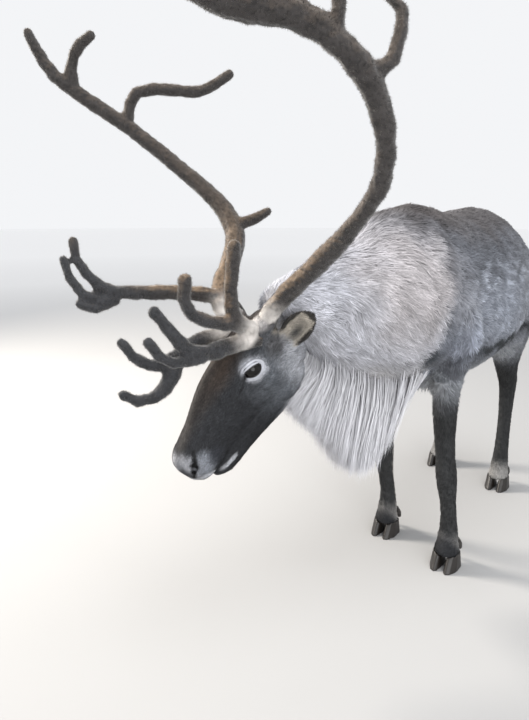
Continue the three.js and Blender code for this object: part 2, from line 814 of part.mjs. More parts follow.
// The head is cut for the eyes, the nostrils and the roots of the antlers
function addHead() {
  const lids = bothSides.map(([, side]) => eyelids(side));
  const sockets = bothSides.map(([, side]) => solid(eyeball(side, GAP)));
  const nostrils = bothSides.map(([, side]) => nostril(side));
  const roots = antlers.map((antler) => antler.grownLower);
  addNode('head', cut(join([headParts(), ...lids]), [...roots, ...sockets, ...nostrils]), DARK_COAT);
}

// The legs below the body
const legNames = Object.keys(LEGS);
const legLoft = (name, grow) => bodyLoft(legSection(LEGS[name]), 20, 12, grow);
const lowerLeg = (name, grow, gap) => trimmed(legLoft(name, grow), V(0, 0, LEGS[name].top), Z_AXIS, gap);

// The body in one piece, parted in front of the shoulders
const SHOULDER_POINT = V(-46, 0, 800);
const SHOULDER_AHEAD = V(-0.97, 0.1, -0.2).normalize();

function addBody() {
  const body = join([
    bodyLoft(torsoSection, 20, 24),
    bodyLoft(neckSection, 14, 24),
    bodyLoft(maneCoreSection, 8, 8),
    ...maneLocks(),
    ...legNames.map((name) => legLoft(name, 0)),
  ]);
  const roots = legNames.map((name) => lowerLeg(name, GAP, -GAP / 2));
  const grownEars = bothSides.map(([, side]) => ear(side, 1));
  const behind = SHOULDER_AHEAD.clone().negate();
  const neck = trimmed(body, SHOULDER_POINT, behind);
  addNode('neck', cut(neck, [grownHead, ...grownEars, ...roots]), PALE_COAT);
  const torso = cut(trimmed(body, SHOULDER_POINT, SHOULDER_AHEAD), roots);
  addNode('torso', torso, BACK_COAT);
  addNode('tail', cut(bodyLoft(tailSection, 8, 10), [bodyLoft(torsoSection, 20, 24, GAP)]), PALE_COAT);
}

addHead();
addBody();
bothSides.forEach(([name, side], i) => {
  addNode(`eye_${name}`, solid(eyeball(side)), EYE);
  addNode(`ear_${name}`, cut(ears[i], [grownHead]), DARK_COAT);
  for (const [part, body] of Object.entries(antlers[i].nodes)) {
    addNode(`antler_${name}_${part}`, body, VELVET);
  }
});

legNames.forEach((name) => {
  const foot = LEGS[name].course.at(-1);
  const outward = Math.sign(foot[1]);
  const grownLeg = legLoft(name, GAP);
  addNode(`leg_${name}`, lowerLeg(name, 0), DARK_COAT);
  for (const [way, side] of [['outer', outward], ['inner', -outward]]) {
    const hoof = claw(foot, side);
    addNode(`hoof_${name}_${way}`, cut(hoof, [grownLeg]), HORN);
    addNode(`dewclaw_${name}_${way}`, cut(dewclaw(foot, side), [grownLeg]), HORN);
  }
});

// The origin under the middle of the model's box
const bounds = new THREE.Box3().setFromObject(reindeer);
const centre = bounds.getCenter(V(0, 0, 0));
reindeer.position.set(-centre.x, -centre.y, -bounds.min.z);

export default reindeer;
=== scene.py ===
import math

import bmesh
import bpy
import numpy as np
from mathutils import Matrix, Vector
from mathutils.kdtree import KDTree


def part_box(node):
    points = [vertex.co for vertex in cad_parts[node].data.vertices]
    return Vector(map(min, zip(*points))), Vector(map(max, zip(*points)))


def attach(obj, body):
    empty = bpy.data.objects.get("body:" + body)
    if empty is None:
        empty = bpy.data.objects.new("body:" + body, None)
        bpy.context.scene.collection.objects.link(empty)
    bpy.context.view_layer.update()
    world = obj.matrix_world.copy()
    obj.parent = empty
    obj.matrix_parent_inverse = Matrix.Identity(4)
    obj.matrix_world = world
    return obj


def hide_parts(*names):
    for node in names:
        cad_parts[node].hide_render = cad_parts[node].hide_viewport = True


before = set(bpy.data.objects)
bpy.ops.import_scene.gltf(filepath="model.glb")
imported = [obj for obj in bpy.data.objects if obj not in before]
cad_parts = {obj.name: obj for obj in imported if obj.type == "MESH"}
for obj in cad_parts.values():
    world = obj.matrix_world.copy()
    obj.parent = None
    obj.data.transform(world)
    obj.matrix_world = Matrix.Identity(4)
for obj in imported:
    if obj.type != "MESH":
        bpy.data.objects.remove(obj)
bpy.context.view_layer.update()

# The head's axes and the sizes that the part's source also names
POLL = np.array([-470.0, 191.0, 812.0])
HEAD_YAW, HEAD_PITCH = math.radians(15), math.radians(50)
HEADING = np.array([-math.cos(HEAD_YAW), math.sin(HEAD_YAW), 0.0])
UPWARD = np.array([0.0, 0.0, 1.0])
HEAD_FORWARD = HEADING * math.cos(HEAD_PITCH) - UPWARD * math.sin(HEAD_PITCH)
HEAD_UP = HEADING * math.sin(HEAD_PITCH) + UPWARD * math.cos(HEAD_PITCH)
HEAD_LEFT = np.cross(HEAD_UP, HEAD_FORWARD)
HEAD_AXES = np.array([HEAD_FORWARD, HEAD_LEFT, HEAD_UP])
EYE_PLACE = np.array([134.0, 62.0, -18.0])


def unit(v):
    return v / np.maximum(np.linalg.norm(v, axis=-1, keepdims=True), 1e-9)


def head_point(place):
    """A point given in the head's axes, in the animal's frame."""
    return POLL + np.asarray(place, float) @ HEAD_AXES


eye_low, eye_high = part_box("eye_left")
SHIFT = np.array((eye_low + eye_high) / 2) * 1000 - head_point(EYE_PLACE)


def placed(points):
    """Animal millimetres to the frame's metres."""
    return (np.asarray(points, float) + SHIFT) / 1000


def animal(points):
    """The frame's metres to animal millimetres."""
    return np.asarray(points, float) * 1000 - SHIFT


def in_head(points):
    """The frame's metres to millimetres in the head's axes."""
    return (animal(points) - POLL) @ HEAD_AXES.T


def mirrored(places):
    """Places in the head's axes, those of the right side moved to the same place on the left."""
    return places * [1, 0, 1] + np.abs(places) * [0, 1, 0]


def mixed(first, second, share):
    """The first where the share is 0, the second where it is 1."""
    return first * (1 - share) + second * share


def row_at(rows, t):
    """The row at share t along a table of sizes, each column smoothed by a Catmull-Rom curve."""
    rows = np.asarray(rows, float)
    last = len(rows) - 1
    s = min(max(t, 0.0), 1.0) * last
    i = min(int(s), last - 1)
    a, b, c, d = (rows[min(max(k, 0), last)] for k in (i - 1, i, i + 1, i + 2))
    f = s - i
    square, cube = 2 * a - 5 * b + 4 * c - d, 3 * b - a - 3 * c + d
    return 0.5 * (2 * b + (c - a) * f + square * f * f + cube * f ** 3)


def scatter(index, values, count):
    """The sum of the values at each index."""
    columns = [np.bincount(index, weights=column, minlength=count) for column in values.T]
    return np.stack(columns, 1)


def corner_normals(points, triangles):
    """The normal at each point, the mean of those of its triangles by their areas."""
    a, b, c = (points[triangles[:, k]] for k in range(3))
    flat = np.cross(b - a, c - a)
    return unit(sum(scatter(triangles[:, k], flat, len(points)) for k in range(3)))


def smoothed(points, edges, rounds, weight=1.0, back=-0.53):
    """Moves points towards their neighbours' middle and back, so that bumps go and the size stays."""
    a, b = edges[:, 0], edges[:, 1]
    count = len(points)
    near = np.bincount(np.concatenate([a, b]), minlength=count)[:, None].clip(1)
    weight = np.broadcast_to(weight, count)[:, None]
    for _ in range(rounds):
        for factor in (0.5, back):
            middle = (scatter(a, points[b], count) + scatter(b, points[a], count)) / near
            points = points + factor * weight * (middle - points)
    return points


def read_mesh(mesh):
    """The points, triangles and edges of a Blender mesh."""
    mesh.calc_loop_triangles()
    read = []
    for items, what, width, kind in (
            (mesh.vertices, "co", 3, float), (mesh.loop_triangles, "vertices", 3, np.int32),
            (mesh.edges, "vertices", 2, np.int32)):
        values = np.empty(len(items) * width, kind)
        items.foreach_get(what, values)
        read.append(values.reshape(-1, width))
    return read


def linked(name, data):
    made = bpy.data.objects.new(name, data)
    bpy.context.scene.collection.objects.link(made)
    return made


def make_object(name, points, faces, stuff=None, smooth=True):
    """An object from arrays of points and of faces with the same number of corners each."""
    mesh = bpy.data.meshes.new(name)
    corners = faces.shape[1]
    mesh.vertices.add(len(points))
    mesh.vertices.foreach_set("co", np.asarray(points, np.float32).ravel())
    mesh.loops.add(faces.size)
    mesh.loops.foreach_set("vertex_index", faces.astype(np.int32).ravel())
    mesh.polygons.add(len(faces))
    mesh.polygons.foreach_set("loop_start", np.arange(0, faces.size, corners, dtype=np.int32))
    mesh.polygons.foreach_set("use_smooth", np.full(len(faces), smooth))
    mesh.update(calc_edges=True)
    if stuff:
        mesh.materials.append(stuff)
    return linked(name, mesh)


def node_shape(name, grow=0.0):
    """A node's points and triangles with doubled points merged, grown a little along its normals."""
    points, triangles, _ = read_mesh(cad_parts[name].data)
    cells = np.round(points * 1e6).astype(np.int64)
    _, first, back = np.unique(cells, axis=0, return_index=True, return_inverse=True)
    points, triangles = points[first], back.ravel()[triangles]
    a, b, c = triangles.T
    triangles = triangles[(a != b) & (b != c) & (c != a)]
    return points + grow * corner_normals(points, triangles), triangles


def joined(shapes):
    points, faces, start = [], [], 0
    for p, f in shapes:
        points.append(p)
        faces.append(f + start)
        start += len(p)
    return np.concatenate(points), np.concatenate(faces)


def applied(obj):
    """The object's mesh with its modifiers applied; the object is deleted."""
    mesh = bpy.data.meshes.new_from_object(obj.evaluated_get(bpy.context.evaluated_depsgraph_get()))
    bpy.data.objects.remove(obj)
    return mesh


def remeshed(shapes, voxel):
    """One closed mesh of even faces round all the shapes."""
    obj = make_object("work", *joined(shapes))
    change = obj.modifiers.new("even", "REMESH")
    change.mode = "VOXEL"
    change.voxel_size = voxel
    return read_mesh(applied(obj))


def grid_faces(rows, columns):
    """Triangles between closed rings of points."""
    i, j = np.meshgrid(np.arange(rows - 1), np.arange(columns), indexing="ij")
    k = (j + 1) % columns
    a, b, c, d = i * columns + j, i * columns + k, (i + 1) * columns + k, (i + 1) * columns + j
    return np.concatenate([np.stack([a, b, c], -1).reshape(-1, 3), np.stack([a, c, d], -1).reshape(-1, 3)])


LOWER_FULLNESS = 2.2


def loft(section, steps, sides):
    """A closed surface through rounded sections.

    A section is its middle, its side and up ways, its half width, its reach up and down, and the fullness of
    its upper half, where 2 is an ellipse."""
    angle = 2 * np.pi * np.arange(sides) / sides
    c, s = np.cos(angle), np.sin(angle)
    rings = []
    for i in range(steps + 1):
        middle, side, up, half, above, below, full = section(i / steps)
        power = np.where(s > 0, 2 / full, 2 / LOWER_FULLNESS)
        across = half * np.sign(c) * np.abs(c) ** power
        high = np.where(s > 0, above, below) * np.sign(s) * np.abs(s) ** power
        rings.append(middle + across[:, None] * side + high[:, None] * up)
    points = np.concatenate([*rings, [rings[0].mean(0), rings[-1].mean(0)]])
    faces = grid_faces(steps + 1, sides)
    j = np.arange(sides)
    k = (j + 1) % sides
    first, last = np.full(sides, len(points) - 2), np.full(sides, len(points) - 1)
    end = steps * sides
    faces = np.concatenate([faces, np.stack([first, k, j], 1), np.stack([last, end + j, end + k], 1)])
    volume = np.einsum("ij,ij->", points[faces[:, 0]], np.cross(points[faces[:, 1]], points[faces[:, 2]]))
    return placed(points), faces if volume > 0 else faces[:, ::-1]


# Neck: middle x, y, z, reach above and below, half width, and the section's tilt and yaw, from the chest up
NECK = [
    [60, 0, 830, 190, 190, 140, 0, 0], [-60, 4, 832, 243, 250, 190, 2, 4],
    [-160, 24, 826, 226, 250, 188, 6, 10],
    [-240, 60, 808, 190, 232, 170, 12, 16], [-300, 98, 788, 160, 196, 150, 18, 20],
    [-348, 132, 772, 142, 160, 130, 26, 22], [-386, 158, 764, 116, 126, 106, 34, 20],
    [-410, 170, 758, 62, 70, 56, 40, 18],
]
# Mane: x, y, top, bottom and half width, from the jaw to the chest
MANE = [
    [-416, 172, 690, 610, 18], [-396, 156, 706, 562, 46], [-352, 130, 710, 502, 66],
    [-308, 98, 708, 450, 74], [-264, 64, 704, 370, 76], [-216, 40, 700, 345, 74],
    [-168, 18, 700, 370, 66], [-130, 2, 695, 440, 52], [-104, -6, 680, 550, 30],
]
# Across the mane, towards the animal's right
MANE_SIDE = np.array([0.35, 0.94, 0.0])
# The skin's core in the mane: the depth of its widest level, and its shares of the mane's reach and width
CORE_LEVEL, CORE_REACH, CORE_WIDTH = 0.12, 0.1, 0.35
NECK_FULLNESS, CORE_FULLNESS = 1.95, 2.0


def neck_section(t, less=0.0):
    """The neck's section at share t, smaller by less all round."""
    x, y, z, above, below, half, tilt, yaw = row_at(NECK, t)
    tilt, yaw = math.radians(tilt), math.radians(yaw)
    ahead = np.array([-math.cos(yaw), math.sin(yaw), 0.0])
    up = UPWARD * math.cos(tilt) + ahead * math.sin(tilt)
    sizes = half - less, above - less, below - less
    return np.array([x, y, z]), np.cross(UPWARD, ahead), up, *sizes, NECK_FULLNESS


def core_section(t):
    x, y, top, bottom, half = row_at(MANE, t)
    level = top + (bottom - top) * CORE_LEVEL
    sizes = half * CORE_WIDTH, top - level, (level - bottom) * CORE_REACH
    return np.array([x, y, level]), MANE_SIDE, UPWARD, *sizes, CORE_FULLNESS


# Materials
def srgb(*values):
    """A colour of the screen, 0 to 255 each, as the renderer's linear values."""
    v = np.asarray(values, float) / 255
    return np.where(v <= 0.04045, v / 12.92, ((v + 0.055) / 1.055) ** 2.4)


BUMP_DETAIL = 3.0


def bumped(tree, shader, scale, strength, distance, stretch=(1, 1, 1)):
    """Fine bump from a noise in object space."""
    new, link = tree.nodes.new, tree.links.new
    place, mapping = new("ShaderNodeTexCoord"), new("ShaderNodeMapping")
    noise, bump = new("ShaderNodeTexNoise"), new("ShaderNodeBump")
    mapping.inputs["Scale"].default_value = stretch
    noise.inputs["Scale"].default_value = scale
    noise.inputs["Detail"].default_value = BUMP_DETAIL
    bump.inputs["Strength"].default_value = strength
    bump.inputs["Distance"].default_value = distance
    link(place.outputs["Object"], mapping.inputs["Vector"])
    link(mapping.outputs["Vector"], noise.inputs["Vector"])
    link(noise.outputs["Fac"], bump.inputs["Height"])
    link(bump.outputs["Normal"], shader.inputs["Normal"])


def material(name, bump=None, **sockets):
    """A material that takes its colour from the mesh's own attribute unless Base_Color is given."""
    made = bpy.data.materials.new(name)
    made.use_nodes = True
    tree = made.node_tree
    shader = tree.nodes["Principled BSDF"]
    for key, value in sockets.items():
        shader.inputs[key.replace("_", " ")].default_value = value
    if "Base_Color" not in sockets:
        colour = tree.nodes.new("ShaderNodeVertexColor")
        colour.layer_name = "coat"
        tree.links.new(colour.outputs["Color"], shader.inputs["Base Color"])
    if bump:
        bumped(tree, shader, *bump)
    return made


# The second value is the bump's scale, strength, distance and stretch
SKIN = material("reindeer_skin", (260, 0.5, 0.002, (1, 1, 0.35)), Roughness=0.85)
FUR = material("reindeer_fur", Roughness=0.7, Specular_IOR_Level=0.25)
VELVET = material("antler_velvet", (420, 0.5, 0.0012), Roughness=0.9, Sheen_Weight=0.5, Sheen_Roughness=0.4)
HORN = material("hoof_horn", (60, 0.35, 0.0015, (1, 1, 9)), Roughness=0.4,
                Base_Color=(0.018, 0.015, 0.013, 1))
EYE = material("eye_dark", Roughness=0.05, Specular_IOR_Level=0.3, Base_Color=(0.0035, 0.0028, 0.0024, 1))
LID = material("eyelid_rim", Roughness=0.35, Base_Color=(0.008, 0.007, 0.007, 1))


# Markings. Each is a soft-edged ellipsoid or line of one colour. Places are x, the distance from the middle
# plane, and z, in the head's axes for the head and in the animal's frame for neck and body
HEAD_MARKS = [
    # centre, half sizes, colour, softness of the edge, strength
    ([150, 0, 30], [130, 44, 40], (74, 63, 55), 0.5, 0.9),  # forehead
    ([290, 0, 25], [130, 26, 40], (58, 54, 52), 0.5, 0.8),  # bridge of the nose
    ([10, 0, 20], [70, 60, 60], (92, 84, 80), 0.6, 0.8),  # poll
    ([96, 80, -120], [84, 90, 110], (106, 110, 116), 0.7, 0.9),  # cheek
    ([20, 80, -130], [76, 90, 110], (178, 180, 186), 0.5, 1.0),  # behind the cheek
    ([60, 50, -218], [120, 70, 34], (206, 208, 213), 0.5, 1.0),  # throat
    ([170, 0, -226], [70, 60, 24], (198, 199, 204), 0.5, 0.8),  # under the jaw
    ([58, 84, -30], [30, 30, 22], (62, 60, 60), 0.6, 0.8),  # between eye and ear
    ([137, 80, -16], [31, 60, 30], (184, 186, 193), 0.28, 1.0),  # ring round the eye
    ([404, 14, -42], [32, 50, 34], (162, 163, 168), 0.3, 0.95),  # muzzle
    ([384, 50, -54], [25, 30, 30], (140, 144, 152), 0.5, 0.9),  # wing of the nostril
    ([352, 44, -72], [22, 30, 26], (60, 62, 68), 0.5, 0.6),  # behind the muzzle
    ([338, 0, -164], [64, 48, 26], (38, 39, 42), 0.35, 0.95),  # chin
    ([416, 18, -44], [16, 16, 15], (66, 67, 72), 0.5, 0.9),  # tip of the nose
    # The nostril is painted near black: painted shade inside its opening, which the skin shows only as a
    # shallow dent.
    ([399, 40, -36], [9, 12, 13], (15, 15, 17), 0.4, 1.0),  # nostril
    ([26, 60, 42], [44, 36, 27], (194, 190, 188), 0.4, 0.95),  # foot of the antler
]
# The pale bands on the lips, the dark line under the lower one, and the nostril, painted near black as the
# painted shade of its opening
UPPER_LIP = [[418, 8, -74], [408, 36, -76], [398, 44, -88], [388, 42, -102]]
LOWER_LIP = [[384, 34, -114], [356, 42, -125], [326, 47, -128]]
UNDER_LIP = [[372, 30, -146], [350, 38, -148], [320, 44, -148]]
NOSTRIL_SHADE_LINE = [[374, 40, -14], [386, 44, -26], [398, 41, -38], [408, 35, -50], [414, 26, -60]]
HEAD_LINES = [
    # places, half width, colour, softness of the edge, strength
    (UPPER_LIP, 9, (202, 204, 210), 0.5, 0.95),
    (LOWER_LIP, 7.5, (200, 202, 208), 0.5, 0.95),
    (UNDER_LIP, 9, (30, 30, 33), 0.4, 0.95),
    # Painted shade of the nostril's opening
    (NOSTRIL_SHADE_LINE, 7.5, (15, 15, 17), 0.35, 1.0),
    ([[156, 64, -9], [172, 66, -14], [198, 62, -24]], 5.0, (22, 22, 24), 0.5, 1.0),  # tear line
]
BODY_MARKS = [
    ([-330, 120, 800], [262, 300, 280], (190, 191, 198), 0.42, 1.0),  # neck
    ([-240, 150, 900], [110, 170, 150], (188, 180, 178), 0.5, 0.6),  # upper neck
    ([-300, 150, 640], [140, 60, 60], (170, 168, 168), 0.6, 0.7),  # underside of the neck
    ([-20, 0, 1080], [190, 110, 84], (80, 75, 75), 0.4, 0.95),  # withers
    ([-120, 110, 960], [26, 120, 100], (78, 80, 86), 0.7, 0.6),  # neck meets shoulder, above
    ([300, 60, 1090], [520, 150, 120], (94, 89, 88), 0.5, 0.8),  # back
    ([190, 250, 770], [250, 150, 96], (168, 174, 186), 0.7, 0.8),  # ribs
    ([-60, 230, 712], [64, 110, 56], (172, 178, 192), 0.6, 0.9),  # shoulder
    ([480, 250, 800], [200, 140, 160], (148, 150, 157), 0.6, 0.7),  # haunch
    ([-118, 190, 745], [22, 130, 90], (90, 95, 104), 0.9, 0.7),  # neck meets shoulder, below
    ([-160, 150, 686], [44, 100, 26], (48, 54, 60), 0.6, 0.95),  # chest
    ([-100, 150, 620], [60, 110, 56], (84, 88, 94), 0.6, 0.8),  # upper fore leg
    ([-146, 122, 622], [30, 34, 26], (168, 176, 190), 0.6, 0.9),  # front of the upper fore leg
    ([290, 225, 682], [330, 120, 20], (44, 48, 52), 0.5, 0.97),  # flank stripe
    ([290, 0, 585], [440, 250, 74], (176, 180, 186), 0.25, 0.95),  # belly
    ([-170, 40, 560], [90, 90, 46], (200, 202, 208), 0.5, 0.9),  # brisket
    ([-210, 30, 440], [270, 170, 170], (222, 222, 226), 0.3, 1.0),  # lower mane
    ([800, 0, 880], [70, 80, 140], (204, 203, 204), 0.4, 1.0),  # rump
]
FACE_COLOUR, BODY_COLOUR, LEG_COLOUR = srgb(47, 48, 51), srgb(106, 109, 116), srgb(52, 53, 54)


def soft_step(value, low, high):
    """0 up to low, 1 from high on, and a smooth rise between them."""
    s = np.clip((value - low) / (high - low), 0, 1)
    return s * s * (3 - 2 * s)


def line_distance(places, line):
    """How far each place is from a line through several places."""
    line = np.asarray(line, float)
    best = np.full(len(places), 1e9)
    for a, b in zip(line[:-1], line[1:]):
        along = np.clip(((places - a) @ (b - a)) / ((b - a) @ (b - a)), 0, 1)
        best = np.minimum(best, np.linalg.norm(places - a - along[:, None] * (b - a), axis=1))
    return best


def painted(colour, places, marks):
    """Lays the marks over a colour: a mark round one centre, or along a line with one half width."""
    for centre, halves, shade, edge, strength in marks:
        if np.ndim(halves):
            reach = np.linalg.norm((places - centre) / halves, axis=1)
        else:
            reach = line_distance(places, centre) / halves
        share = strength * (1 - soft_step(reach, 1 - edge, 1 + edge))[:, None]
        colour = mixed(colour, srgb(*shade), share)
    return colour


def waves(points, size, count, seed):
    """A smooth field, mostly between -1 and 1, with features of about the size given, in metres."""
    draws = np.random.default_rng(seed)
    turns = unit(draws.normal(size=(count, 3))) * (2 * np.pi / size) * draws.uniform(0.6, 1.6, (count, 1))
    total = np.sin(points @ turns.T + draws.uniform(0, 2 * np.pi, count)).sum(1)
    return total * (1.4 / math.sqrt(count)) * 0.7


def middle_line(x):
    """How far to the right the middle of the body or neck lies at x."""
    return np.interp(-x, [-row[0] for row in NECK], [row[1] for row in NECK])


def head_share(points):
    """1 on the head and 0 on the body, soft where they meet behind the cheek."""
    p = in_head(points)
    return np.maximum(soft_step(p[:, 0] + 0.25 * (p[:, 2] + 100), -30, 20), ear_places(points)[0][:, 0])


def leg_share(points):
    """1 below the body and 0 on it, by height alone."""
    return 1 - soft_step(animal(points)[:, 2], 470, 620)


def behind_chest(p):
    """1 from the fore legs back and 0 on chest and mane, for places in the animal's frame."""
    return 1 - soft_step(-p[:, 0], 150, 190)


# The middle of each leg at some levels
LEGS = "fore_left", "fore_right", "hind_left", "hind_right"
LEG_MIDDLES = {}
for name in LEGS:
    p = animal(read_mesh(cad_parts[f"leg_{name}"].data)[0])
    levels = np.arange(60, 600, 40.0)
    rings = [p[np.abs(p[:, 2] - level) < 60] for level in levels]
    middles = [[(r[:, k].min() + r[:, k].max()) / 2 for k in (0, 1)] for r in rings]
    LEG_MIDDLES[name] = levels, np.array(middles)
LEG_REACH, LEG_HALF = 110, 28


def leg_edge(points):
    """How far a place on a leg is on its pale rear and inner edge, from 0 to 1."""
    p = animal(points)
    share = np.zeros(len(p))
    for name, (levels, middles) in LEG_MIDDLES.items():
        x, y = (np.interp(p[:, 2], levels, middles[:, k]) for k in (0, 1))
        mine = np.hypot(p[:, 0] - x, p[:, 1] - y) < LEG_REACH
        inner = (p[:, 1] - y) * (1 if "left" in name else -1) / LEG_HALF
        rear = (p[:, 0] - x) / LEG_HALF
        pale = soft_step(0.85 * rear + 0.75 * inner + 0.25 * waves(points, 0.03, 7, 12), 0.75, 1.25)
        share = np.where(mine, pale, share)
    return share * (1 - soft_step(p[:, 2], 440, 560))


# The left ear in the head's axes: its length, its root, and the ways it points and opens
EAR_LENGTH = 117.0
EAR_ROOT = np.array([40.0, 72, -50])
EAR_ALONG, EAR_OPENS = np.array([-0.62, 0.66, 0.3]), np.array([0.55, 0.6, 0.5])


def ear_axes():
    """Along the ear, out of its cup and across it, in the head's axes, for the left ear."""
    along = unit(EAR_ALONG)
    out = unit(EAR_OPENS - along * (EAR_OPENS @ along))
    return np.array([along, out, np.cross(along, out)])


def ear_local(points):
    """Places in the axes of the nearer ear: along from its root, out of its cup and across."""
    return (mirrored(in_head(points)) - EAR_ROOT) @ ear_axes().T


# How far the ear's own solid reaches across and out of its cup at some levels, and its tip
EAR_LEVELS = np.linspace(8, 112, 14)
e = ear_local(read_mesh(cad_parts["ear_left"].data)[0])
e = np.concatenate([e, e[:-1] * 0.5 + e[1:] * 0.5])
EAR_RINGS = [e[np.abs(e[:, 0] - level) < 9] for level in EAR_LEVELS]
EAR_EDGES = np.array([[f(r[:, k]) for k in (2, 1) for f in (np.min, np.max)] for r in EAR_RINGS])
EAR_TIP = e[:, 0].max()


def ear_places(points):
    """Shares: on the ear, at its rim, and inside its cup."""
    e = ear_local(points)
    low, high, deep, top = (np.interp(e[:, 0], EAR_LEVELS, EAR_EDGES[:, k]) for k in range(4))
    near = soft_step(e[:, 0], 6, 24) * (1 - soft_step(np.abs(e[:, 2]), 38, 44))
    near = near * (1 - soft_step(e[:, 0], 130, 150)) * (1 - soft_step(np.abs(e[:, 1] + 6), 30, 44))
    across = (2 * e[:, 2] - low - high) / (high - low)
    wall = deep + (top - deep) * (0.10 + 0.55 * across.clip(-1, 1) ** 2)
    inside = soft_step(e[:, 1] - wall, -0.8, 0.8)
    rim = np.maximum(soft_step(np.abs(across), 0.68, 0.82), soft_step(e[:, 0], EAR_TIP - 20, EAR_TIP - 12))
    rim = rim * soft_step(e[:, 0], 14, 34)
    return near[:, None], (rim * 0.92)[:, None], inside[:, None]


def coat_colour(points):
    """The markings of skin and coat at places in the frame, with painted shade in the middle of the ears'
    cups and in the nostrils.
    """
    p, sided_head = animal(points), mirrored(in_head(points))
    off = np.abs(p[:, 1] - middle_line(p[:, 0]))
    sided_body = np.stack([p[:, 0], off, p[:, 2]], 1)
    sided_body = sided_body + 14 * np.stack([waves(points, 0.16, 7, s) for s in (1, 2, 3)], 1)
    body = painted(BODY_COLOUR, sided_body, BODY_MARKS)
    ribs = soft_step(p[:, 0], -90, 20) * soft_step(p[:, 2], 690, 740) * (1 - soft_step(p[:, 2], 880, 960))
    pale = ribs * soft_step(waves(points * [0.6, 1, 1], 0.04, 13, 31), 0.0, 0.9)
    body = mixed(body, srgb(190, 196, 208), 0.6 * pale[:, None])
    leg = mixed(LEG_COLOUR, srgb(168, 164, 160), leg_edge(points)[:, None])
    body = mixed(body, leg, (leg_share(points) * behind_chest(p))[:, None])
    body = mixed(body, srgb(176, 174, 172), 0.75 * (1 - soft_step(p[:, 2], 70, 120))[:, None])
    face = painted(FACE_COLOUR, sided_head + 4 * waves(points, 0.05, 7, 5)[:, None], HEAD_MARKS)
    face = painted(face, sided_head, HEAD_LINES)
    near, rim, inside = ear_places(points)
    e = ear_local(points)
    # Painted shade: the middle of the ear's cup, where its hollow is deepest, is painted darker.
    deep = np.exp(-((e[:, 0] - 40) / 30) ** 2 - ((e[:, 2] - 4) / 13) ** 2)[:, None]
    cup = mixed(srgb(178, 171, 160), srgb(72, 71, 70), deep)
    ear = mixed(mixed(srgb(118, 116, 116), cup, inside), srgb(34, 33, 34), rim)
    colour = mixed(body, mixed(face, ear, near), head_share(points)[:, None])
    mottle = 1 + 0.10 * waves(points, 0.05, 9, 8) + 0.07 * waves(points * [1, 1, 0.5], 0.018, 9, 9)
    return colour * mottle[:, None].clip(0.6, 1.4)


# The skin: the solids evened out and smoothed, then drawn in by the depth of the coat
BODY_NODES = ["torso", "tail", *[f"leg_{leg}" for leg in LEGS]]
HEAD_NODES = ["head", "ear_left", "ear_right"]
BODY_VOXEL, HEAD_VOXEL, ANTLER_VOXEL, HOOF_VOXEL = 0.0072, 0.0027, 0.0042, 0.0026
BODY_ROUNDS, HEAD_ROUNDS, SEAM_ROUNDS, ANTLER_ROUNDS, HOOF_ROUNDS = 60, 34, 40, 26, 10

body_shapes = [node_shape(n, 0.0015) for n in BODY_NODES]
body_shapes += [loft(neck_section, 40, 64), loft(core_section, 24, 32)]
points, triangles, edges = remeshed(body_shapes, BODY_VOXEL)
level = animal(points)[:, 2]
thin = soft_step(level, 420, 640)
tail = soft_step(animal(points)[:, 0], 770, 800) * soft_step(level, 700, 740)
points = smoothed(points, edges, BODY_ROUNDS, 0.12 + 0.88 * thin * (1 - 0.8 * tail))
depth = 0.0025 + 0.008 * thin * (1 - 0.5 * tail)
points = points - depth[:, None] * corner_normals(points, triangles)
body_skin = make_object("body_work", points, triangles)

head_shapes = [node_shape("head", 0.0004)] + [node_shape(n, 0.0006) for n in HEAD_NODES[1:]]
points, triangles, edges = remeshed(head_shapes, HEAD_VOXEL)
sided = mirrored(in_head(points))


def bump_at(centre, halves):
    """1 at a place of the head and its twin on the other side, and less away from them."""
    return np.exp(-(((sided - centre) / halves) ** 2).sum(1))


# Nostrils, ears and eyes are kept sharper, and the coat is deeper under the jaw and thinner on the ears
ear_middles = [animal(np.array(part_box(n)[0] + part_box(n)[1]) / 2) for n in HEAD_NODES[1:]]
from_ear = np.minimum(*[np.linalg.norm(animal(points) - middle, axis=1) for middle in ear_middles])
near_ear = 1 - soft_step(from_ear, 60, 85)
nostrils, eyes = bump_at([398, 46, -44], [26, 24, 34]), bump_at([140, 70, -16], [38, 30, 30])
depth = 0.0018 - 0.0013 * near_ear + 0.0016 * soft_step(-sided[:, 2], 90, 200)
points = smoothed(points, edges, HEAD_ROUNDS, 1 - 0.86 * np.clip(nostrils + near_ear + 0.6 * eyes, 0, 1))
normals = corner_normals(points, triangles)


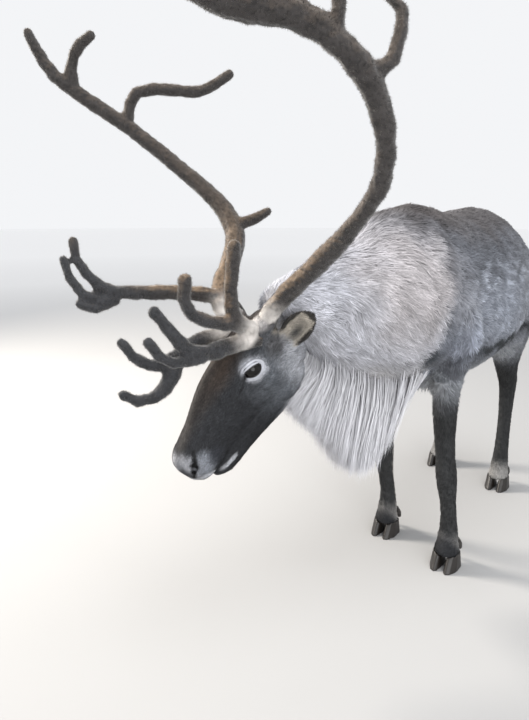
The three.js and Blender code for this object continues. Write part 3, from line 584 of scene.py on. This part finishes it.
# The face's raised and sunk lines, on both sides
MOUTH = [[400, 36, -100], [380, 40, -119], [358, 42, -132], [332, 45, -138], [304, 46, -137]]
NOSTRIL_DENT = [[376, 42, -17], [388, 46, -27], [402, 40, -42], [413, 32, -51], [412, 30, -62]]
RIDGES = [
    # places, half width and height in millimetres
    (MOUTH, 3.4, -4.2),
    ([[408, 30, -88], [384, 42, -106], [358, 45, -119], [330, 48, -126]], 6.5, 2.4),  # upper lip
    ([[376, 22, -158], [350, 36, -152], [322, 42, -150]], 8, 1.8),  # lower lip
    (NOSTRIL_DENT, 4.2, -4.0),
    ([[374, 52, -28], [386, 56, -38], [400, 50, -52], [410, 40, -62]], 7, 2.6),  # wing of the nostril
    ([[380, 28, -6], [396, 30, -18], [410, 24, -34]], 8, 2.0),  # above the nostril
    ([[160, 64, -9], [176, 64, -11], [196, 62, -15]], 3.6, -2.2),  # tear line
    ([[100, 74, 12], [130, 70, 16], [160, 60, 12]], 8, 3.2),  # brow
    ([[108, 84, -46], [136, 80, -52], [164, 72, -44]], 6, 2.0),  # under the eye
    ([[200, 66, -80], [260, 56, -78], [320, 50, -72]], 14, 1.6),  # side of the nose
    ([[90, 78, -70], [150, 72, -78], [210, 62, -84]], 9, 1.6),  # cheekbone
]
EYE_SOCKET = 3.0
relief = -EYE_SOCKET * bump_at([137, 72, -16], [26, 40, 15])
for path, width, height in RIDGES:
    relief += height * np.exp(-((line_distance(sided, path) / width) ** 2))
points = points - (depth - relief / 1000)[:, None] * normals
head_skin = make_object("head_work", points, triangles)

# Head and body are joined, and the new points at the seam show where it is smoothed
change = body_skin.modifiers.new("join", "BOOLEAN")
change.operation = "UNION"
change.solver = "MANIFOLD"
change.object = head_skin
separate = np.concatenate([read_mesh(body_skin.data)[0], points])
before = {tuple(v) for v in np.round(separate * 1e6).astype(int)}
skin_mesh = applied(body_skin)
bpy.data.objects.remove(head_skin)
points, triangles, edges = read_mesh(skin_mesh)
fresh = np.array([tuple(v) not in before for v in np.round(points * 1e6).astype(int)])
seam = KDTree(int(fresh.sum()))
for i, p in enumerate(points[fresh]):
    seam.insert(p, i)
seam.balance()
near_seam = np.array([seam.find(p)[2] for p in points])
on_ear = ear_places(points)[0][:, 0]
SEAM_WIDTH = 0.02
weight = np.exp(-((near_seam / SEAM_WIDTH) ** 2)) * (1 - on_ear)
skin_points, skin_triangles = smoothed(points, edges, SEAM_ROUNDS, weight, -0.45), triangles
skin_normals = corner_normals(skin_points, skin_triangles)


def tint(mesh, colours):
    """Gives a mesh its colour attribute."""
    layer = mesh.color_attributes.new("coat", "FLOAT_COLOR", "POINT")
    rgba = np.ones((len(colours), 4), np.float32)
    rgba[:, :3] = colours
    layer.data.foreach_set("color", rgba.ravel())


SKIN_SHADE = 0.8
skin = make_object("skin", skin_points, skin_triangles, SKIN)
tint(skin.data, coat_colour(skin_points) * SKIN_SHADE)
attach(skin, "root")
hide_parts("neck", *BODY_NODES, *HEAD_NODES)


# Fur
def flow_at(points, normals):
    """The way the coat lies at places in the frame, along the skin."""
    p, h = animal(points), in_head(points)
    torso = np.stack([np.ones(len(p)), np.zeros(len(p)), -0.45 * soft_step(np.abs(p[:, 1]), 40, 200)], 1)
    neck, down = np.array([0.9, -0.34, -0.6]), np.array([0.15, 0, -1])
    out = np.sign(h[:, 1])[:, None] * HEAD_LEFT
    face = -HEAD_FORWARD + 0.25 * out + 0.25 * HEAD_UP * np.sign(h[:, 2] + 40)[:, None]
    flow = mixed(torso, neck, soft_step(-p[:, 0], 20, 160)[:, None])
    flow = mixed(flow, down, leg_share(points)[:, None])
    flow = mixed(flow, down, soft_step(p[:, 0], 770, 800)[:, None])
    flow = mixed(flow, face, head_share(points)[:, None])
    ear = (EAR_ALONG * [1, 0, 1] + np.sign(h[:, 1])[:, None] * EAR_ALONG * [0, 1, 0]) @ HEAD_AXES
    flow = unit(mixed(flow, ear, ear_places(points)[0]))
    turn = np.stack([waves(points, 0.11, 8, s) for s in (21, 22, 23)], 1)
    return along_skin(flow + 0.22 * turn, normals)


def along_skin(ways, normals):
    """The ways turned into the plane that the normals stand on."""
    return unit(ways - (ways * normals).sum(1)[:, None] * normals)


def picked(area, count, draws):
    """Numbers of triangles, each as often as its area calls for."""
    return np.searchsorted(np.cumsum(area) / area.sum(), draws.random(count)).clip(0, len(area) - 1)


def sampled(weights, count, draws):
    """Places on the skin, more where a triangle's weight is higher, and the normals there."""
    a, b, c = (skin_points[skin_triangles[:, k]] for k in range(3))
    pick = picked(np.linalg.norm(np.cross(b - a, c - a), axis=1) / 2 * weights, count, draws)
    u, v = draws.random(count), draws.random(count)
    over = u + v > 1
    u, v = np.where(over, 1 - u, u)[:, None], np.where(over, 1 - v, v)[:, None]
    place = a[pick] * (1 - u - v) + b[pick] * u + c[pick] * v
    n = [skin_normals[skin_triangles[pick, k]] for k in range(3)]
    return place, unit(n[0] * (1 - u - v) + n[1] * u + n[2] * v)


def ribbons(paths, widths, across):
    """Flat tapered tufts, each ending in one point: points, triangles and the number of points in a tuft.

    paths is tufts by places by 3, widths tufts by places, and across the way in which each is wide."""
    count, steps = paths.shape[:2]
    left = paths[:, :-1] - across[:, None] * widths[:, :-1, None] / 2
    right = paths[:, :-1] + across[:, None] * widths[:, :-1, None] / 2
    points = np.concatenate([np.stack([left, right], 2).reshape(count, -1, 3), paths[:, -1:]], 1)
    each = 2 * (steps - 1) + 1
    faces = []
    for i in range(steps - 2):
        faces += [[2 * i, 2 * i + 1, 2 * i + 3], [2 * i, 2 * i + 3, 2 * i + 2]]
    faces.append([each - 3, each - 2, each - 1])
    faces = np.arange(count)[:, None, None] * each + np.array(faces)[None]
    return points.reshape(-1, 3), faces.reshape(-1, 3), each


def clumped(place, size, draws):
    """For each place, the number of its clump, and the middle of that clump."""
    cells = np.floor(place / size + 0.35 * draws.normal(size=place.shape)).astype(np.int64)
    _, clump = np.unique(cells, axis=0, return_inverse=True)
    clump = clump.ravel()
    count = clump.max() + 1
    middle = scatter(clump, place, count) / np.bincount(clump, minlength=count)[:, None]
    return clump, middle


# The most triangles in one object, and the size of a tuft's patch on the unwrap
MOST_TRIANGLES = 180000
PATCH = 0.003


def unwrapped(chart, place):
    """Where a place on the skin lies on its unwrap: round the long axis of its part, and along it."""
    p, h, e = animal(place), in_head(place), ear_local(place)
    if chart == "head":
        turn, along = np.arctan2(h[:, 1], h[:, 2] + 80), (h[:, 0] + 120) / 600
    elif chart == "leg":
        right, hind = p[:, 1] > 0, p[:, 0] > 300
        x = np.where(hind, 660.0, 20.0) + 80 * right
        turn = np.arctan2(np.abs(p[:, 1]) - 135, p[:, 0] - x)
        along = (p[:, 2] / 700 + 2 * right + hind) / 4
    elif chart == "ear":
        inside = ear_places(place)[2][:, 0] > 0.5
        turn = np.pi * (e[:, 2] / 90 + inside - 0.5)
        along = (e[:, 0] / 150 + (h[:, 1] < 0)) / 2
    elif chart == "tail":
        turn, along = np.arctan2(p[:, 1], p[:, 0] - 808), (p[:, 2] - 740) / 260
    else:
        turn, along = np.arctan2(p[:, 1] - middle_line(p[:, 0]), p[:, 2] - 800), (p[:, 0] + 480) / 1400
    return np.stack([turn / (2 * np.pi) + 0.5, along], 1).clip(0.01, 0.99)


def coat_piece(name, paths, widths, across, colours, shading, spots, stuff=FUR):
    """Objects of tufts, front to back, with colours, shading normals and the OFBake map of each tuft's
    patch.
    """
    most = MOST_TRIANGLES // (2 * paths.shape[1] - 3)
    parts = max(1, math.ceil(len(paths) / most))
    order = np.argsort(paths[:, 0, 0], kind="stable")
    for k, chosen in enumerate(np.array_split(order, parts)):
        points, faces, each = ribbons(paths[chosen], widths[chosen], across[chosen])
        obj = make_object(f"{name}_{k + 1}" if parts > 1 else name, points, faces, stuff)
        tint(obj.data, colours[chosen][:, :each].reshape(-1, 3))
        soft = np.repeat(shading[chosen], each, 0).astype(np.float32)
        obj.data.normals_split_custom_set_from_vertices(soft)
        flat = np.array([[((i % 2) - 0.5), (i // 2) / (each // 2) - 0.5] for i in range(each)])
        flat[-1] = [0, 0.5]
        corners = (spots[chosen][:, None] + PATCH * flat[None]).reshape(-1, 2)
        layer = obj.data.uv_layers.new(name="OFBake")
        layer.uv.foreach_set("vector", corners[faces.ravel()].astype(np.float32).ravel())
        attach(obj, "root")


def gradient(base, each, root, tip, draws, spread):
    """Colours for each tuft's points from root to tip, each tuft a little lighter or darker."""
    steps = np.append(np.repeat(np.linspace(0, 1, each // 2 + 1)[:-1], 2), 1.0)
    shade = (1 + spread * draws.normal(size=len(base))).clip(0.5, 1.6)
    return base[:, None] * (root + (tip - root) * steps)[None, :, None] * shade[:, None, None]


def short_fur(name, weights, count, length, width, lift, clump, chart, slot, seed, spread):
    """Tufts that leave the skin at a small angle and lie back along it. length is a function of places."""
    draws = np.random.default_rng(seed)
    count = int(count * FEWER)
    place, normal = sampled(weights, count, draws)
    flow = flow_at(place, normal)
    long = length(place)[:, None] * draws.uniform(0.75, 1.2, (count, 1))
    wide = width * draws.uniform(0.8, 1.2, count)
    group, middle = clumped(place, clump, draws)
    wild = draws.normal(size=(group.max() + 1, 3)) * 0.16
    flow = along_skin(unit(flow + wild[group] + 0.10 * draws.normal(size=flow.shape)), normal)
    drawn = (middle[group] - place) * 0.55
    drawn -= (drawn * normal).sum(1)[:, None] * normal
    rise = lift * draws.uniform(0.6, 1.4, (count, 1))
    start = place - 0.0012 * normal
    knee = place + long * 0.5 * unit(flow + rise * normal) + drawn * 0.35
    tip = knee + long * 0.5 * unit(flow + 0.25 * rise * normal) + drawn * 0.65
    across = unit(np.cross(flow, normal) + 0.35 * draws.normal(size=(count, 1)) * normal)
    widths = wide[:, None] * np.array([0.8, 1.0, 0.0])
    tone = (1 + 0.12 * draws.normal(size=group.max() + 1))[group][:, None].clip(0.6, 1.5)
    colours = gradient(coat_colour(place) * tone, 5, 0.76, 1.18, draws, spread)
    paths, shading = np.stack([start, knee, tip], 1), unit(normal + 0.35 * flow)
    coat_piece(name, paths, widths, across, colours, shading, unwrapped(chart, start))


# What share of each triangle of the skin lies on the ears, the tail, the head and the legs
middle = skin_points[skin_triangles].mean(1)
place = animal(middle)
on_ear = ear_places(middle)[0][:, 0]
on_tail = soft_step(place[:, 0], 792, 806) * soft_step(place[:, 2], 730, 760)
on_head = head_share(middle)
on_leg = leg_share(middle) * behind_chest(place)
FEWER = 1.0


def ear_distance(points):
    """How far a place is from the line of the nearer ear, in millimetres."""
    e = ear_local(points)
    nearest = np.stack([e[:, 0].clip(0, EAR_LENGTH), 0 * e[:, 0], 0 * e[:, 0]], 1)
    return np.linalg.norm(e - nearest, axis=1)


def body_length(points):
    """Fur longer towards the neck, shorter low down and round the ears."""
    p = animal(points)
    long = 0.030 + 0.008 * soft_step(-p[:, 0], 100, 300) - 0.010 * (1 - soft_step(p[:, 2], 480, 620))
    return long * (0.35 + 0.65 * soft_step(ear_distance(points), 45, 110))


# The eye, ahead of the poll and above it in the head's axes
EYE_AHEAD, EYE_ABOVE = 138, -16


def head_length(points):
    """Fur shorter on the muzzle and round the eyes, longer towards the neck."""
    h = in_head(points)
    muzzle = soft_step(h[:, 0], 330, 400)
    by_eye = 1 - soft_step(np.hypot(h[:, 0] - EYE_AHEAD, h[:, 2] - EYE_ABOVE), 26, 46)
    return (0.0095 - 0.0045 * muzzle + 0.009 * (1 - soft_step(h[:, 0], -20, 120))) * (1 - 0.5 * by_eye)


def leg_length(points):
    return 0.010 + 0.008 * soft_step(animal(points)[:, 2], 250, 560)


def even(length):
    return lambda points: np.full(len(points), length)


# No fur grows on the eyes, and less along the dark line under the lower lip
around = in_head(middle)
from_eye = np.hypot((around[:, 0] - EYE_AHEAD) / 1.35, around[:, 2] - EYE_ABOVE)
by_lip = soft_step(line_distance(mirrored(around), UNDER_LIP), 6, 16)
on_face = on_head * (1 - on_ear) * soft_step(from_eye, 15, 21) * (0.35 + 0.65 * by_lip)
on_body, on_legs = (1 - on_head) * (1 - on_leg) * (1 - on_tail), on_leg * (1 - on_head)

COATS = [
    # name, weights, tufts, length, width, lift, size of a clump, chart, slot, seed, spread of the shades
    ("coat_body", on_body, 205000, body_length, 0.0018, 0.30, 0.013, "body", "coat", 31, 0.15),
    ("coat_legs", on_legs, 42000, leg_length, 0.0013, 0.20, 0.008, "leg", "leg_coat", 32, 0.26),
    ("coat_head", on_face, 120000, head_length, 0.0009, 0.26, 0.008, "head", "coat", 33, 0.34),
    ("coat_ears", on_ear, 12000, even(0.010), 0.0008, 0.35, 0.007, "ear", "coat", 34, 0.15),
    ("coat_tail", on_tail, 9000, even(0.026), 0.0016, 0.22, 0.012, "tail", "coat", 35, 0.15),
]
for coat in COATS:
    short_fur(*coat)


# Mane: long strands in clumps, from the underside of the neck to the mane's lower edge
MANE_SHARES = np.linspace(0, 1, 60)
MANE_TABLE = np.array([row_at(MANE, t) for t in MANE_SHARES])
MANE_NECK = [neck_section(t, 11.0) for t in np.linspace(0.95, 0.2, 60)]
MANE_CLUMPS, STRANDS_EACH = 700, 32
MANE_BEND = np.linspace(0, 1, 6)
MANE_WIDTHS = np.array([0.7, 1.0, 1.0, 0.85, 0.55, 0.0])
MANE_SPREAD = math.radians(42)


def mane_at(share, column):
    """A column of the mane's table at shares from the jaw to the chest."""
    return np.interp(share, MANE_SHARES, MANE_TABLE[:, column])


def neck_at(share, item):
    """An item of the neck's section at shares from the jaw to the chest."""
    values = np.array([section[item] for section in MANE_NECK], float)
    if values.ndim == 1:
        return np.interp(share, MANE_SHARES, values)[:, None]
    return np.stack([np.interp(share, MANE_SHARES, values[:, k]) for k in range(3)], 1)


def mane():
    draws = np.random.default_rng(41)
    each = int(STRANDS_EACH * FEWER)
    count = MANE_CLUMPS * each
    share = np.repeat(draws.uniform(0.0, 1.0, MANE_CLUMPS), each)
    ring = np.repeat(draws.uniform(-1, 1, MANE_CLUMPS), each)
    share_here = (share + 0.03 * draws.normal(size=count)).clip(0, 1)
    ring_here = ring + 0.16 * draws.normal(size=count)
    angle = (ring_here * MANE_SPREAD)[:, None]
    side, up = neck_at(share_here, 1), neck_at(share_here, 2)
    root = (neck_at(share_here, 0) + side * neck_at(share_here, 3) * np.sin(angle)
            - up * neck_at(share_here, 5) * np.cos(angle))
    out = unit(side * np.sin(angle) - up * np.cos(angle))
    reach = draws.uniform(0.86, 1.04, count) * np.repeat(draws.uniform(0.94, 1.04, MANE_CLUMPS), each)
    tip = np.stack([mane_at(share, 0), mane_at(share, 1), mane_at(share, 3)], 1)
    tip -= MANE_SIDE * (ring * mane_at(share, 4) * 0.7)[:, None]
    tip[:, 2] = root[:, 2] + (tip[:, 2] - root[:, 2]) * reach
    tip += 6 * draws.normal(size=(count, 3)) + np.array([-6, 0, 0])
    leave = root + out * 6 + (tip - root) * 0.2
    paths = []
    for s in MANE_BEND:
        curve = root * (1 - s) ** 2 + 2 * leave * s * (1 - s) + tip * s * s
        straight = root * (1 - s) + tip * s
        bow = out * (16 * math.sin(math.pi * s) * (1 - s))
        paths.append(0.35 * straight + 0.65 * curve + bow + 5 * draws.normal(size=(count, 3)) * s * (1 - s))
    paths = placed(np.stack(paths, 1))
    widths = draws.uniform(1.8, 3.2, (count, 1)) / 1000 * MANE_WIDTHS
    facing = unit(-MANE_SIDE * np.sign(ring)[:, None] + 0.25 * UPWARD)
    along = unit(paths[:, -1] - paths[:, 0])
    across = unit(np.cross(along, facing) + 0.3 * draws.normal(size=(count, 3)))
    tone = (1 + 0.07 * draws.normal(size=MANE_CLUMPS)).repeat(each)[:, None]
    lower = soft_step(-root[:, 2], -790, -700)[:, None]
    base = mixed(coat_colour(paths[:, 0]), srgb(224, 224, 228), lower) * tone
    colours = gradient(base, 11, 1.0, 1.0, draws, 0.06)
    colours = colours * np.interp(np.arange(11), [0, 2, 5, 10], [0.74, 0.84, 0.98, 1.03])[None, :, None]
    spots, shading = unwrapped("body", paths[:, 0]), unit(facing + 0.45 * UPWARD)
    coat_piece("mane", paths, widths, across, colours, shading, spots)


mane()


# Eyes: smooth balls behind lids, each an almond ring drawn out to the tear duct
EYE_TILT = math.radians(20)
LID_STEPS, LID_SIDES = 72, 10
EYE_RADIUS, EYE_SUNK = 24.0, 2.2
# The eye's opening: half its length, its height above and below, and what its two corners add to the length
LID_HALF, LID_ABOVE, LID_BELOW = 19.5, 11.0, 10.0
DUCT_CORNER, REAR_CORNER = 6.0, -1.5


def ball(name, centre, radius, stuff):
    made = bmesh.new()
    bmesh.ops.create_uvsphere(made, u_segments=40, v_segments=24, radius=radius / 1000)
    mesh = bpy.data.meshes.new(name)
    made.to_mesh(mesh)
    made.free()
    mesh.transform(Matrix.Translation(Vector(placed(centre))))
    mesh.polygons.foreach_set("use_smooth", np.full(len(mesh.polygons), True))
    mesh.materials.append(stuff)
    return linked(name, mesh)


def eye_out(side):
    """The way an eye looks out of the head, 1 being the left side and -1 the right."""
    return unit(np.array([0.22, 0.92 * side, 0.3]) @ HEAD_AXES)


def eye_centre(side):
    return head_point(EYE_PLACE * [1, side, 1]) - EYE_SUNK * eye_out(side)


def eyelids(side, swell, thick, name, stuff):
    """An almond rim round one eye, its front corner drawn out to the tear duct and turned a little up."""
    out = eye_out(side)
    level = unit(HEAD_FORWARD - out * (HEAD_FORWARD @ out))
    drop = np.cross(out, level) * side
    along = level * math.cos(EYE_TILT) - drop * math.sin(EYE_TILT)
    over = drop * math.cos(EYE_TILT) + level * math.sin(EYE_TILT)
    turn = 2 * np.pi * np.arange(LID_STEPS) / LID_STEPS
    round_ = 2 * np.pi * np.arange(LID_SIDES) / LID_SIDES
    corner = np.maximum(0, np.cos(turn)) ** 4
    back = np.maximum(0, -np.cos(turn)) ** 4
    x = (LID_HALF + swell) * np.cos(turn) + DUCT_CORNER * corner + REAR_CORNER * back
    y = (np.where(np.sin(turn) > 0, LID_ABOVE, LID_BELOW) + swell) * np.sin(turn)
    y = y * (1 - 0.3 * corner - 0.15 * back)
    off = np.sqrt(np.maximum((EYE_RADIUS + 0.3) ** 2 - x ** 2 - y ** 2, 8.0 ** 2))
    ring = eye_centre(side) + x[:, None] * along + y[:, None] * over + off[:, None] * out
    outward = unit(x[:, None] * along + y[:, None] * over)
    tube = ring[:, None] + thick * (np.cos(round_)[None, :, None] * outward[:, None]
                                    + 0.8 * np.sin(round_)[None, :, None] * out)
    whole = LID_STEPS * LID_SIDES
    faces = grid_faces(LID_STEPS + 1, LID_SIDES)
    faces = np.where(faces >= whole, faces - whole, faces)
    return make_object(name, placed(tube.reshape(-1, 3)), faces, stuff)


for side, word in ((1, "left"), (-1, "right")):
    eyeball = ball(f"eyeball_{word}", eye_centre(side), EYE_RADIUS, EYE)
    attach(eyeball, "root")
    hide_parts(f"eye_{word}")
    rim = eyelids(side, 1.0, 2.0, f"eye_rim_{word}", LID)
    folds = [eyelids(side, 4.6, 3.2, f"eyelid_{word}", SKIN),
             eyelids(side, 9.4, 4.6, f"eye_fold_{word}", SKIN)]
    for fold in folds:
        tint(fold.data, coat_colour(read_mesh(fold.data)[0]))
    for piece in (rim, *folds):
        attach(piece, "root")


def branch_spots(place, nodes):
    """The unwrap of an antler: one strip for each branch, along the branch and round it."""
    shapes = [node_shape(n)[0] for n in nodes]
    tree = KDTree(sum(len(s) for s in shapes))
    for k, shape in enumerate(shapes):
        for p in shape:
            tree.insert(p, k)
    tree.balance()
    mine = np.array([tree.find(p)[1] for p in place])
    spots = np.zeros((len(place), 2))
    for k, shape in enumerate(shapes):
        middle = shape.mean(0)
        _, _, axes = np.linalg.svd(shape - middle, full_matrices=False)
        reach = np.abs((shape - middle) @ axes[0]).max() * 1.1
        q = (place[mine == k] - middle) @ axes.T
        spots[mine == k] = np.stack([np.arctan2(q[:, 2], q[:, 1]) / (2 * np.pi) + 0.5,
                                     (k + 0.5 + 0.45 * (q[:, 0] / reach).clip(-1, 1)) / len(nodes)], 1)
    return spots.clip(0.01, 0.99)


# Antlers: each side in one smooth piece with lumps under the velvet, and fuzz over it
ANTLER_TUFTS = 55000


def antler(word, branches, seed):
    """One antler, from the solids of its branches, with the colours of its velvet and its fuzz."""
    nodes = [f"antler_{word}_{b}" for b in branches]
    points, triangles, edges = remeshed([node_shape(n, 0.0006) for n in nodes], ANTLER_VOXEL)
    points = smoothed(points, edges, ANTLER_ROUNDS)
    normals = corner_normals(points, triangles)
    lumps = 0.0012 * waves(points, 0.05, 9, seed) + 0.0006 * waves(points, 0.016, 9, seed + 1)
    points = points + normals * (lumps - 0.0018)[:, None]
    normals = corner_normals(points, triangles)
    root = [46, 46 if word == "left" else -46, 0]

    def velvet(p, n):
        """Dark velvet with a painted top light, tan where it faces up and back, and pale at the foot."""
        q = in_head(p)
        far = np.linalg.norm(q - root, axis=1)
        high = soft_step(animal(p)[:, 2], 900, 1120)
        # Painted light: velvet facing up and back, towards the key light, is painted tan, less so high up
        # and on the tines.
        painted_top_light = np.clip(n @ unit(np.array([-0.25, 0.35, 0.8])), 0, 1) ** 0.7 * (1 - 0.75 * high)
        tine = soft_step(q[:, 0], 60, 150)[:, None]
        colour = mixed(srgb(58, 55, 54), srgb(146, 121, 94), 0.85 * painted_top_light[:, None] * (1 - tine))
        colour = mixed(colour, srgb(50, 52, 56), 0.8 * tine)
        pale = ((1 - soft_step(far, 55, 120)) * soft_step(q[:, 2] - 0.12 * q[:, 0], 4, 24))[:, None]
        colour = mixed(colour, srgb(206, 201, 196), pale)
        speck = soft_step(waves(p, 0.011, 11, 77), 0.3, 0.9)[:, None] * 0.45 * (1 - pale)
        return colour * (1 - speck) * (1 + 0.14 * waves(p, 0.04, 9, 78))[:, None]

    obj = make_object(f"antler_{word}", points, triangles, VELVET)
    tint(obj.data, velvet(points, normals))
    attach(obj, "root")
    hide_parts(*nodes)
    draws = np.random.default_rng(seed)
    a, b, c = (points[triangles[:, k]] for k in range(3))
    count = int(ANTLER_TUFTS * FEWER)
    pick = picked(np.linalg.norm(np.cross(b - a, c - a), axis=1), count, draws)
    u = draws.dirichlet((1, 1, 1), count)
    place = sum(u[:, k, None] * points[triangles[pick, k]] for k in range(3))
    normal = unit(sum(u[:, k, None] * normals[triangles[pick, k]] for k in range(3)))
    lean = unit(normal + 0.45 * draws.normal(size=(count, 3)))
    long = draws.uniform(0.0024, 0.0046, count)[:, None]
    across = unit(np.cross(lean, draws.normal(size=(count, 3))))
    paths = np.stack([place - 0.0005 * normal, place + long * lean], 1)
    widths = np.stack([draws.uniform(0.0005, 0.0009, count), np.zeros(count)], 1)
    colours = gradient(velvet(place, normal), 3, 0.8, 1.1, draws, 0.1)
    # Painted rim light: the fuzz's tips are painted halfway to a pale buff, so that the velvet's edges look
    # lit from behind.
    colours = mixed(colours, srgb(176, 164, 148), np.array([0.0, 0.0, 0.5])[None, :, None])
    spots = branch_spots(place, nodes)
    coat_piece(f"fuzz_{word}", paths, widths, across, colours, normal, spots, VELVET)


antler("left", ("beam", "crown", "bez", "brow"), 51)
antler("right", ("beam", "crown", "bez", "brow", "back_tine", "rear_tine"), 61)

# Hooves and dewclaws
for leg in LEGS:
    nodes = [f"{kind}_{leg}_{way}" for kind in ("hoof", "dewclaw") for way in ("outer", "inner")]
    shapes = []
    for node in nodes:
        points, triangles, edges = remeshed([node_shape(node)], HOOF_VOXEL)
        points = smoothed(points, edges, HOOF_ROUNDS)
        points[:, 2] = points[:, 2].clip(0, None)
        shapes.append((points, triangles))
    obj = make_object(f"hooves_{leg}", *joined(shapes), HORN)
    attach(obj, "root")
    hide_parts(*nodes)

# The floor, the light and the camera
stuff = material("floor_pale", Roughness=0.9)
turn = np.linspace(0, 2 * np.pi, 49)[:-1]
FLOOR_LEVEL = -0.0005
FLOOR_RADII = [0.0004, 1.5, 3, 5, 8, 14, 40]
FLOOR_GREYS = [0.4, 0.4, 0.44, 0.6, 0.8, 0.92, 0.95]
radii = np.array(FLOOR_RADII)[:, None]
points = np.stack([radii * np.cos(turn), radii * np.sin(turn), 0 * radii * turn + FLOOR_LEVEL], 2)
rings = np.arange(len(radii) * len(turn)).reshape(len(radii), -1)
beside = np.roll(rings, -1, 1)
faces = np.stack([rings[:-1], rings[1:], beside[1:], beside[:-1]], 2).reshape(-1, 4)
floor = make_object("floor", points.reshape(-1, 3), faces, stuff, smooth=False)
tint(floor.data, np.repeat(FLOOR_GREYS, len(turn))[:, None] * np.ones(3))

world = bpy.data.worlds.new("studio")
world.use_nodes = True
background = world.node_tree.nodes["Background"].inputs
background["Color"].default_value = (0.95, 0.96, 0.98, 1)
background["Strength"].default_value = 0.95
bpy.context.scene.world = world


def area_light(name, place, target, size, power, colour=(1, 1, 1)):
    light = bpy.data.lights.new(name, "AREA")
    light.shape = "DISK"
    light.size = size
    light.energy = power
    light.color = colour
    obj = linked(name, light)
    obj.location = place
    obj.rotation_euler = (Vector(target) - Vector(place)).to_track_quat("-Z", "Y").to_euler()


area_light("key", (-0.6, 3.2, 2.7), (-0.3, 0, 0.9), 1.2, 260, (1.0, 0.93, 0.84))
area_light("top", (-0.6, -0.9, 4.2), (0, 0, 0.8), 2.6, 70)
area_light("fill", (-2.8, -3.2, 1.6), (-0.2, 0, 0.8), 3.0, 80)

CAMERA_PLACE = np.array([-1650.6, -682.5, 1060.0])
CAMERA_TURN, CAMERA_DIP = math.radians(54), math.atan(148 / 600)
CAMERA_LEVEL = np.array([math.sin(CAMERA_TURN), math.cos(CAMERA_TURN), 0.0])
camera = bpy.data.cameras.new("photo_camera")
camera.lens = 30
camera.sensor_width = 36
camera_object = linked("photo_camera", camera)
camera_object.location = placed(CAMERA_PLACE)
look = CAMERA_LEVEL * math.cos(CAMERA_DIP) - UPWARD * math.sin(CAMERA_DIP)
camera_object.rotation_euler = Vector(look).to_track_quat("-Z", "Y").to_euler()
bpy.context.scene.camera = camera_object
bpy.context.scene.view_settings.view_transform = "Standard"
